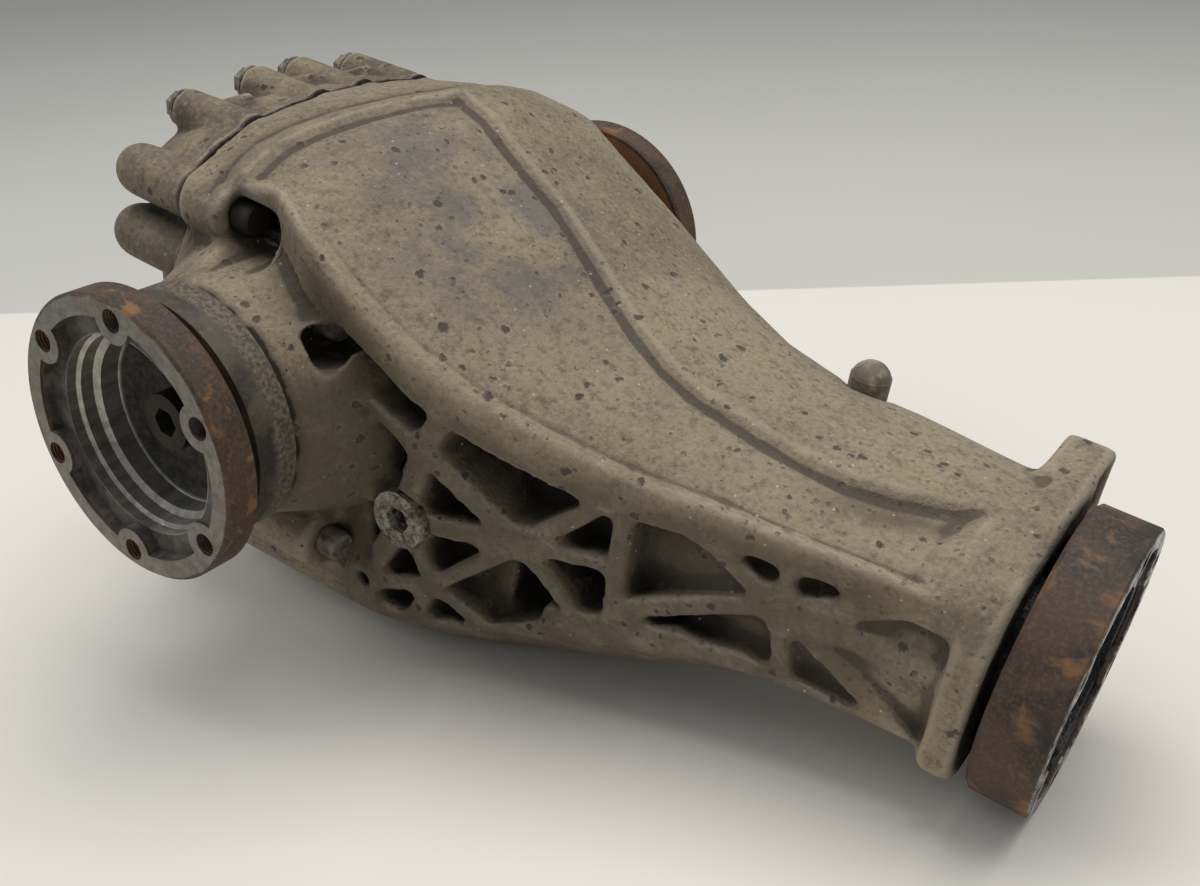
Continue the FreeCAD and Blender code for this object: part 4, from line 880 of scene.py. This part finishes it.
def skin_wave(points, per_x, per_y, per_z, slant, starts):
    """The slow waviness of a sand mould: crossed waves along X and Y, and one along Z."""
    x, y, z = points.T
    crossed = np.sin(x * per_x + starts[0]) * np.sin(y * per_y + starts[1])
    return crossed + np.sin(z * per_z + x * slant)


def flank_shade_and_dirt(points, normals):
    """1 on the steep flanks below the lip, between the flanges' necks and the nose; these get dirt
    and painted shade.
    """
    x, _, z = points.T
    low = smooth_step(*BELOW_LIP, z - np.interp(x, LIP_X, LIP_Z))
    sideways = smooth_step(*FACING_SIDEWAYS, normals[:, 2]) * smooth_step(*FLANK_START, x)
    return low * sideways * smooth_step(*FLANK_END, x)


def store_relief(piece, covered, silt):
    """Four numbers per vertex: how sharply it sits in or out, how deep its surroundings are, how
    walled in it is, and how much dirt and painted shade darken it, on the flanks and where silt is
    given."""
    mesh = piece.data
    points, edges, normals = points_of(mesh), edges_of(mesh), normals_of(mesh)
    none = np.zeros(len(points))
    near = relax(points, edges, steps=4, amount=0.7, hold=none)
    far = relax(near, edges, steps=40, amount=0.8, hold=none)
    store(mesh, "edge", ((near - points) * normals).sum(1) / MM)
    store(mesh, "hollow", ((far - points) * normals).sum(1) / MM)
    store(mesh, "shelter", covered)
    store(mesh, "flank", np.maximum(flank_shade_and_dirt(points, normals), silt))


def machined_surfaces(points):
    """1 on the housing's bores and seam, which keep their CAD shape."""
    x, y, z = points.T
    pinion = (np.hypot(y, z - INPUT_Z) < BORE_HOLD_RADIUS) & within(x, PINION_BORE)
    axle = (np.hypot(x, z) < BORE_HOLD_RADIUS) & within(y, AXLE_BORE)
    return (pinion | axle | (x < SEAM + SEAM_LIP)).astype(float)


def hidden_rooms(points):
    """Whether each vertex is inside the gear chamber or the pinion's tunnel."""
    x, y, z = points.T
    chamber = (np.hypot(x, z) < CHAMBER_RADIUS) & (np.abs(y) < CHAMBER_HALF) & (x < CHAMBER_RADIUS)
    return chamber | (np.hypot(y, z - INPUT_Z) < PINION_ROOM_RADIUS) & within(x, PINION_ROOM)


def top_relief(points, normals):
    """How far the band, the ridge and their grooves lift the housing's top, and where silt lies."""
    x, y, z = points.T
    outside = smooth_step(*ABOVE_ROOF, z - np.interp(x, ROOF_X, ROOF_Z))
    top = smooth_step(*FACING_UP, normals[:, 2]) * outside * smooth_step(*TOP_START, x)
    top = top * smooth_step(*TOP_END, x)
    past_band = y - np.interp(x, BAND_X, BAND_Y)
    past_ridge = x - np.interp(y, RIDGE_Y, RIDGE_X)
    band = smooth_step(*BAND_SLOPE, past_band)
    ridge = 1.0 - smooth_step(*RIDGE_SLOPE, past_ridge)
    band_groove = hump(past_band, *BAND_GROOVE) * (1.0 - ridge)
    rear_groove = hump(past_ridge, *RIDGE_GROOVE) * (1.0 - band)
    rear_groove += REAR_GROOVE_SHARE * hump(past_ridge, *REAR_GROOVE) * (x < REAR_GROOVE_END)
    valley = smooth_step(*NOSE_VALLEY_START, x) * hump(past_band, *NOSE_VALLEY)
    lift = (np.maximum(band, ridge) - 1.0) * BAND_HEIGHT
    lift = lift - (band_groove + rear_groove) * GROOVE_DEPTH - valley * VALLEY_DEPTH
    silt = np.clip(valley + 0.8 * band_groove + 0.5 * rear_groove, 0.0, 1.0)
    return top * lift, top * silt


def housing_casting():
    piece = remeshed("main_housing", "housing_casting", HOUSING_VOXEL)
    mesh = piece.data
    edges = edges_of(mesh)
    hold = machined_surfaces(points_of(mesh))
    points = relax(points_of(mesh), edges, steps=5, amount=0.5, hold=hold)
    set_points(mesh, points)
    normals = normals_of(mesh)
    covered = shelter(points, normals, edges)
    hidden = hidden_rooms(points) | (hold > 0.5)
    lift, silt = top_relief(points, normals)
    wave = skin_wave(points, 61.0, 47.0, 53.0, 23.0, starts=(1.3, 0.4))
    points = points + normals * lift[:, None]
    points = points + normals * (wave * (1.0 - hold) * SKIN_WAVE)[:, None]
    points = relax(points, edges, steps=1, amount=0.4, hold=hold)
    set_points(mesh, points)
    store_relief(piece, covered, silt)
    thin_out(piece, hidden, HOUSING_FACES)
    return finish_piece(piece, "main_housing")


def cover_casting():
    piece = remeshed("rear_cover", "rear_cover_casting", COVER_VOXEL)
    mesh = piece.data
    points, edges = points_of(mesh), edges_of(mesh)
    hold = (points[:, 0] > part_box("rear_cover")[1].x - SEAM_LIP).astype(float)
    points = relax(points, edges, steps=6, amount=0.5, hold=hold)
    set_points(mesh, points)
    normals = normals_of(mesh)
    covered = shelter(points, normals, edges)
    wave = skin_wave(points, 57.0, 51.0, 49.0, 31.0, starts=(0.7, 1.4))
    points = points + normals * (wave * (1.0 - hold) * SKIN_WAVE)[:, None]
    set_points(mesh, points)
    store_relief(piece, covered, np.zeros(len(points)))
    return finish_piece(piece, "rear_cover")


# ---------------------------------------------------------------- stage, light and camera

# The camera stands to the right of the nose and looks back and down across the part, rolled a bit.
CAMERA_PLACE = Vector((0.33289, -0.37431, 0.25406))
CAMERA_HEADING = math.radians(31.553)
CAMERA_TILT = math.radians(58.116)
CAMERA_ROLL = math.radians(7.552)
LENS = 38.5
SENSOR_WIDTH = 36.0

# The floor slopes up forward, so that the part lies on its sump and its input flange.
FLOOR_SLOPE = 0.184
FLOOR_TOUCH = Vector((0.306, 0.0, -0.0700))
FLOOR_HALF = 6.0
# The grey of the wall starts at a line through these two places.
WALL_START = Vector((-0.481, 0.091, -0.206))
WALL_END = Vector((0.225, 0.590, -0.084))

SKY = (0.93, 0.96, 1.0, 1.0)
SKY_STRENGTH = 0.36


def camera():
    data = bpy.data.cameras.new("camera")
    data.lens = LENS
    data.sensor_width = SENSOR_WIDTH
    data.clip_start = 0.01
    data.clip_end = 20.0
    obj = link(bpy.data.objects.new("camera", data))
    turn = Matrix.Rotation(CAMERA_HEADING, 4, "Z") @ Matrix.Rotation(CAMERA_TILT, 4, "X")
    turn = turn @ Matrix.Rotation(CAMERA_ROLL, 4, "Z")
    obj.matrix_world = Matrix.Translation(CAMERA_PLACE) @ turn
    bpy.context.scene.camera = obj


def floor_material():
    """A pale table that turns to the grey of the wall behind a straight line."""
    s = Surface("stage_floor")
    along = (WALL_END - WALL_START).normalized()
    across = Vector((-along.y, along.x, 0.0)).normalized()
    dot = s.node("ShaderNodeVectorMath", operation="DOT_PRODUCT")
    s.feed(dot.inputs[0], s.node("ShaderNodeNewGeometry").outputs["Position"])
    dot.inputs[1].default_value = across
    line = WALL_START.dot(across)
    beyond = s.between(dot.outputs["Value"], line - 2 * MM, line + 2 * MM)
    cloud = s.noise(3.0, 3.0, 0.5)
    pale = s.mix(cloud, (0.735, 0.700, 0.640), (0.775, 0.740, 0.680))
    grey = s.mix(cloud, (0.530, 0.520, 0.480), (0.570, 0.560, 0.520))
    return s.done(s.mix(beyond, pale, grey), 0.65, 0.0, 0.3)


def stage():
    corners = []
    for along, across in ((-1, -1), (1, -1), (1, 1), (-1, 1)):
        x = along * FLOOR_HALF
        height = FLOOR_TOUCH.z + FLOOR_SLOPE * (x - FLOOR_TOUCH.x)
        corners.append((x, across * FLOOR_HALF, height))
    mesh = bpy.data.meshes.new("stage_floor")
    mesh.from_pydata(corners, [], [(0, 1, 2, 3)])
    mesh.materials.append(floor_material())
    link(bpy.data.objects.new("stage_floor", mesh))


def lamp(name, place, target, width, height, power, colour):
    data = bpy.data.lights.new(name, "AREA")
    data.shape = "RECTANGLE"
    data.size = width
    data.size_y = height
    data.energy = power
    data.color = colour
    obj = link(bpy.data.objects.new(name, data))
    obj.location = place
    obj.rotation_mode = "QUATERNION"
    obj.rotation_quaternion = (Vector(target) - Vector(place)).to_track_quat("-Z", "Y")


def lights():
    world = bpy.data.worlds.new("studio")
    world.use_nodes = True
    world.node_tree.nodes["Background"].inputs["Color"].default_value = SKY
    world.node_tree.nodes["Background"].inputs["Strength"].default_value = SKY_STRENGTH
    bpy.context.scene.world = world
    lamp("ceiling", place=(0.0, 0.25, 1.7), target=(0.1, 0.0, 0.0),
         width=1.8, height=1.4, power=29.0, colour=(1.0, 0.985, 0.96))
    lamp("window", place=(-1.3, -0.9, 1.0), target=(0.05, -0.05, 0.0),
         width=1.0, height=0.9, power=8.0, colour=(0.95, 0.98, 1.0))
    bpy.context.scene.view_settings.view_transform = "Standard"


paint_cad_nodes()
housing_casting()
cover_casting()
camera()
stage()
lights()
